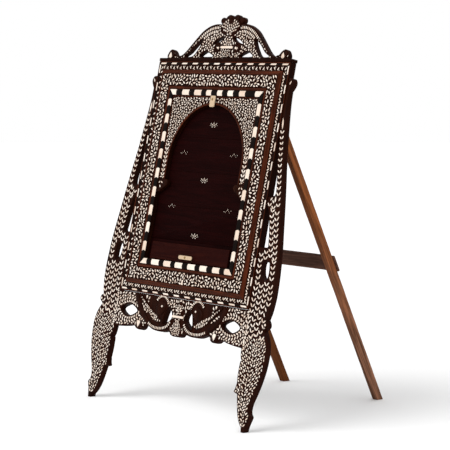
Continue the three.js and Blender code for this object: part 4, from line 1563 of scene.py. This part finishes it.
class STAND_OT_apron_inlay(bpy.types.Operator):
    """Lays the apron's inlay: laurel round the holes, ladders on the scrolls, the vase's leaves"""

    bl_idname = "stand.apron_inlay"
    bl_label = "Apron inlay"

    BAND = -44.5  # the height of the bone bar across the vase
    BUD = (137.5, -8)

    def execute(self, context):
        board = STAND_OT_front_board
        self.sweep, self.limb = smooth_run(board.SWEEP), smooth_run(board.LIMB)
        self.bone = Inlay(BOARD_LEVEL, front_room, gap=1.3, edge=1.8)
        self.raised = Inlay(BOARD_LEVEL + 2.4, Region(turned(board.VASE)), gap=0.7, edge=1.0,
                            across=0.9)
        self.strip = Inlay(BOARD_LEVEL + 2.0, open_room, gap=0.4, across=1.0)
        self.thick = Inlay(BOARD_LEVEL + 2.3, self.limb_room(), gap=0.9, edge=0.3, across=0.85)
        self.raised.pile.stud(cut_to(BAR, 0, self.BAND, 0, 44, 5.6), BOARD_LEVEL,
                              [(0, 3.0), (0.5, 3.6)])
        self.raised.take([(u, self.BAND, 3.0) for u in range(-12, 13, 4)])
        for side in BOTH_SIDES:
            self.ladders(side)
            self.studs(side)
            self.laurel(side)
        self.vase_leaves()
        self.bone.take([(u, v, 4) for u in range(-18, 19, 6) for v in range(-88, -12, 6)
                        if abs(u) < 17])
        for low, high in ((-262, -128), (-44, 44), (128, 262)):
            self.bone.fill((low, -91, high, -3), [(9.4, 3.9), (6.4, 3.4), (3.6, 3.6)],
                           whorls(19.0), looks().seed + 7, 2.0)
        parts = (self.bone, self.raised, self.strip, self.thick)
        for number, part in enumerate(parts, 1):
            part.finish(f"apron_inlay_{number}")
        return {"FINISHED"}

    def limb_room(self):
        """Room on the bird's limb, which swells to its thickest four fifths of the way along."""
        marks = stations(self.limb, 4)
        thin, swell, narrowing, thickest = 1.5, 8.0, 6.0, 0.8

        def room(u, v):
            off, i = min((math.hypot(abs(u) - x, v - y), i) for i, (x, y, _) in enumerate(marks))
            along = i / (len(marks) - 1)
            half = (thin + swell * min(along / thickest, 1.0)
                    - narrowing * max(along - thickest, 0.0) / (1 - thickest))
            return half - off
        return room

    def ladders(self, side):
        """Bars across the sweep and the scroll, and leaves along the bird's limb."""
        for u, v, heading in stations(self.sweep, 6.2, 6, 92):
            self.strip.bar(side * u, v, mirror_heading(heading + math.pi / 2, side), 6.0, 3.0)
        self.thick.fill(on_side(side, 60, -75, 170, -2), [(7.0, 3.3), (4.6, 3.0), (3.0, 3.0)],
                        lambda u, v: math.radians(90 + side * 20), looks().seed + 9, 1.6)
        for u, v, heading in stations(STAND_OT_front_board.scroll(side, 55, 66), 5.6):
            self.strip.bar(u, v, heading + math.pi / 2, 5.2, 2.8)

    def studs(self, side):
        """The bird's eye and the bone drops on the knobs, with room kept for the carving."""
        (bird, bird_height), (knob, knob_height) = (STAND_OT_front_board.BIRD,
                                                    STAND_OT_front_board.KNOB)
        bud, bud_height = self.BUD
        self.bone.take([(side * bird + 17 * t, bird_height - 11 * t * side, 15)
                        for t in (-0.4, 0, 0.4)])
        pile = self.raised.pile
        pile.stud(dot(side * 67, -25, 2.6, 9), BOARD_LEVEL + 3.6, [(0, 0.6), (0.5, 1.0)], 0.8)
        pile.stud(cut_to(DROP, side * knob, knob_height + 2, UP, 17, 13), BOARD_LEVEL + 3.0,
                  [(0, 0.8), (0.9, 1.5), (2.2, 1.9)], 0.8)
        self.bone.take([(side * knob, knob_height, 12.5)])
        pile.stud(cut_to(DROP, side * bud, bud_height, UP, 9, 6.4), BOARD_LEVEL,
                  [(0, 0.4), (0.6, 0.9)])
        self.bone.take([(side * bud, bud_height, 4)])
        for path, half in ((self.sweep, 8.0), (self.limb, 11.0)):
            self.bone.take([(side * u, v, half) for u, v, _ in stations(path, 6)])

    def laurel(self, side):
        """Leaf pairs round the eye-shaped hole, which meet at its inner end."""
        loop = turned(smooth_hole(EYE_HOLE, 6))
        for u, v, heading in stations(beside(loop + loop[:1], -10.5), 9.8):
            turn = heading if v < -46 else heading + math.pi
            self.bone.chevron(side * u, v, mirror_heading(turn, side), 14.5, 6.8, 3.7, 0.5)

    def vase_leaves(self):
        """A flower above the vase's neck, and leaves that spread up its body."""
        for k in range(5):
            turn = math.radians(90 + (k - 2) * 34)
            self.raised.leaf(9.0 * math.cos(turn), -33 + 11 * math.sin(turn), turn, 10.5, 4.2)
        for row in range(4):
            for way in BOTH_SIDES:
                for k in range(2):
                    self.raised.leaf(way * (3.4 + 6.2 * k), -55 - 8.2 * row - 3.0 * k,
                                     math.radians(90 + way * 52), 7.4, 3.2)
        self.raised.fill((-22, -92, 22, -12), [(4.8, 2.8), (2.6, 2.6)],
                         lambda u, v: math.atan2(v + 60, u or 0.1), looks().seed + 6, 1.6)


# ---------------------------------------------------------------- the struts behind
class STAND_OT_struts(bpy.types.Operator):
    """Shapes the two plain struts and the rail between them, with hand-worked faces"""

    bl_idname = "stand.struts"
    bl_label = "Struts and rail"

    EASE, PIECE_LENGTH = 2.0, 14.0
    STRUT_WANDER, RAIL_WANDER = 0.45, 0.35

    def execute(self, context):
        # The left strut takes the darkened teak copy: painted shade for the strut that stands in
        # shadow
        self.worked("rear_strut_left", "teak_with_painted_shade", "teak", self.STRUT_WANDER)
        self.worked("rear_strut_right", "teak", "teak", self.STRUT_WANDER)
        self.worked("strut_cross_rail", "rail", "aged_rail_wood", self.RAIL_WANDER)
        return {"FINISHED"}

    def worked(self, name, finish, slot, wander):
        """A copy of a frame node with eased edges and slightly uneven faces."""
        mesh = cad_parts[name].data.copy()
        mesh.name = name + "_worked"
        mesh.transform(STRUTS.inverted())
        soften(mesh, self.EASE, self.PIECE_LENGTH, wander)
        mesh.transform(STRUTS)
        mesh.materials.clear()
        mesh.materials.append(finish_for(finish))
        piece = shown(mesh.name, mesh, 50)
        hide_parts(name)
        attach(piece, REAR)


def soften(mesh, ease, piece_length, wander):
    """Welds a mesh, cuts it into short lengths, rounds its edges and lets its faces wander."""
    bm = bmesh.new()
    bm.from_mesh(mesh)
    bmesh.ops.remove_doubles(bm, verts=bm.verts, dist=0.01)
    bmesh.ops.dissolve_limit(bm, angle_limit=0.02, verts=bm.verts, edges=bm.edges)
    low = [min(v.co[n] for v in bm.verts) for n in range(3)]
    high = [max(v.co[n] for v in bm.verts) for n in range(3)]
    axis = max(range(3), key=lambda n: high[n] - low[n])
    edges = [e for e in bm.edges if e.calc_face_angle(0.0) > 0.5]
    bmesh.ops.bevel(bm, geom=edges, offset=ease, segments=3, profile=0.6, affect="EDGES",
                    clamp_overlap=True)
    normal = [0.0, 0.0, 0.0]
    normal[axis] = 1.0
    for i in range(1, int((high[axis] - low[axis]) / piece_length)):
        place = [0.0, 0.0, 0.0]
        place[axis] = low[axis] + i * piece_length
        bmesh.ops.bisect_plane(bm, geom=bm.verts[:] + bm.edges[:] + bm.faces[:], plane_co=place,
                               plane_no=normal)
    centre = Vector([(a + b) / 2 for a, b in zip(low, high)])
    for vert in bm.verts:
        drift = wandering(vert.co) * wander
        inward = centre - vert.co
        drift[axis] = inward[axis] = 0.0
        vert.co += drift + inward.normalized() * wander
    rewrite(mesh, bm)
    bm.free()


def wandering(spot):
    """A slow, smooth drift in each direction, which depends only on the spot."""
    return Vector([noise.noise(spot * 0.035 + Vector((shift, 0.0, 0.0)))
                   for shift in (3.1, 17.9, 41.3)])


def rewrite(mesh, bm):
    """Gives a mesh the worked shape, with its faces in a fixed order."""
    bm.verts.index_update()
    corners = []
    for face in bm.faces:
        ring = [vert.index for vert in face.verts]
        first = ring.index(min(ring))
        corners.append(ring[first:] + ring[:first])
    mesh.clear_geometry()
    mesh.from_pydata([tuple(vert.co) for vert in bm.verts], [], sorted(corners))


class STAND_OT_ironwork(bpy.types.Operator):
    """Finishes the hinges and screws"""

    bl_idname = "stand.ironwork"
    bl_label = "Ironwork"

    def execute(self, context):
        names = [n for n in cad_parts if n.startswith(("hinge_", "case_hinge_screw",
                                                            "strut_hinge_screw", "rail_screw"))]
        dress("iron", *[n for n in names if "pin" in n or "screw" in n])
        dress("iron", *[n for n in names if "leaf" in n], ease=0.25)
        return {"FINISHED"}


# ---------------------------------------------------------------- stage
class STAND_OT_stage(bpy.types.Operator):
    """Sets the pale floor, the soft lights and the camera"""

    bl_idname = "stand.stage"
    bl_label = "Stage"

    CAMERA, TARGET, LENS = (3.7846, -3.1167, 0.8738), (0.0062, -0.0859, 0.4475), 158.55
    FLOOR_RADIUS, FLOOR_SIDES = 14, 48
    AMBIENT = 0.7
    # Each sun's name, place, strength and width in degrees.
    SUNS = [("key", (-0.9, -3.0, 2.9), 1.7, 44), ("fill", (3.2, -1.2, 2.2), 0.55, 50),
            ("back", (-1.0, 3.0, 2.5), 0.3, 50)]

    def execute(self, context):
        self.floor()
        self.sky(context)
        for name, place, power, spread in self.SUNS:
            lamp = bpy.data.lights.new(name, "SUN")
            lamp.energy, lamp.angle = power, math.radians(spread)
            self.aimed(name, lamp, place, (0, 0, 0))
        camera = bpy.data.cameras.new("view of the stand")
        camera.lens, camera.sensor_width = self.LENS, 36.0
        camera.clip_start, camera.clip_end = 0.1, 60.0
        context.scene.camera = self.aimed("camera", camera, self.CAMERA, self.TARGET)
        return {"FINISHED"}

    def aimed(self, name, kind, place, target):
        """A light or a camera at a place, turned towards a target."""
        holder = bpy.data.objects.new(name, kind)
        bpy.context.scene.collection.objects.link(holder)
        holder.location = place
        away = Vector(target) - Vector(place)
        holder.rotation_euler = away.to_track_quat("-Z", "Y").to_euler()
        return holder

    def floor(self):
        """A broad pale disc."""
        mesh = bpy.data.meshes.new("floor")
        ring = arc(0, 0, self.FLOOR_RADIUS, 0, 2 * math.pi, self.FLOOR_SIDES)[:-1]
        mesh.from_pydata([(x, y, 0.0) for x, y in ring], [], [list(range(self.FLOOR_SIDES))])
        recipe = Recipe("pale floor", {"Specular IOR Level": 0.1, "Roughness": 0.9})
        cloud = recipe.noise(recipe.place(0.0, (1.2, 1.2, 1.2)), detail=2.0)
        recipe.surface(Base_Color=recipe.mixed(cloud, (0.93, 0.93, 0.93), (0.95, 0.95, 0.95)))
        mesh.materials.append(recipe.material)
        floor = bpy.data.objects.new("floor", mesh)
        bpy.context.scene.collection.objects.link(floor)

    def sky(self, context):
        """Soft light from all round, seen by the camera as plain white."""
        world = bpy.data.worlds.new("soft studio")
        world.use_nodes = True
        tree = world.node_tree
        dim = tree.nodes["Background"]
        dim.inputs["Strength"].default_value = self.AMBIENT
        pale = tree.nodes.new("ShaderNodeBackground")
        for background in (dim, pale):
            background.inputs["Color"].default_value = (1, 1, 1, 1)
        seen, chosen = (tree.nodes.new(f"ShaderNode{kind}") for kind in ("LightPath", "MixShader"))
        tree.links.new(seen.outputs["Is Camera Ray"], chosen.inputs[0])
        tree.links.new(dim.outputs[0], chosen.inputs[1])
        tree.links.new(pale.outputs[0], chosen.inputs[2])
        tree.links.new(chosen.outputs[0], tree.nodes["World Output"].inputs[0])
        context.scene.world = world
        context.scene.view_settings.view_transform = "Standard"


class STAND_PT_panel(bpy.types.Panel):
    """Lists the stand's colours, sizes and pieces"""

    bl_idname = "STAND_PT_panel"
    bl_label = "Inlaid Quran stand"
    bl_space_type = "VIEW_3D"
    bl_region_type = "UI"
    bl_category = "Quran Stand"

    def draw(self, context):
        column = self.layout.column(align=True)
        for name in StandFinishes.__annotations__:
            column.prop(context.scene.stand_finishes, name)
        for piece in PIECES:
            column.operator(piece.bl_idname)


PIECES = (STAND_OT_case, STAND_OT_border, STAND_OT_floral, STAND_OT_chequer, STAND_OT_arch,
          STAND_OT_niche, STAND_OT_buttons, STAND_OT_crest, STAND_OT_front_board,
          STAND_OT_side_inlay, STAND_OT_leg_inlay, STAND_OT_apron_inlay, STAND_OT_struts,
          STAND_OT_ironwork, STAND_OT_stage)
CLASSES = (StandFinishes, *PIECES, STAND_PT_panel)


def register():
    for item in CLASSES:
        bpy.utils.register_class(item)
    bpy.types.Scene.stand_finishes = PointerProperty(type=StandFinishes)


def unregister():
    del bpy.types.Scene.stand_finishes
    for item in reversed(CLASSES):
        bpy.utils.unregister_class(item)


def main():
    register()
    for piece in PIECES:
        group, name = piece.bl_idname.split(".")
        getattr(getattr(bpy.ops, group), name)()


if __name__ == "__main__":
    main()
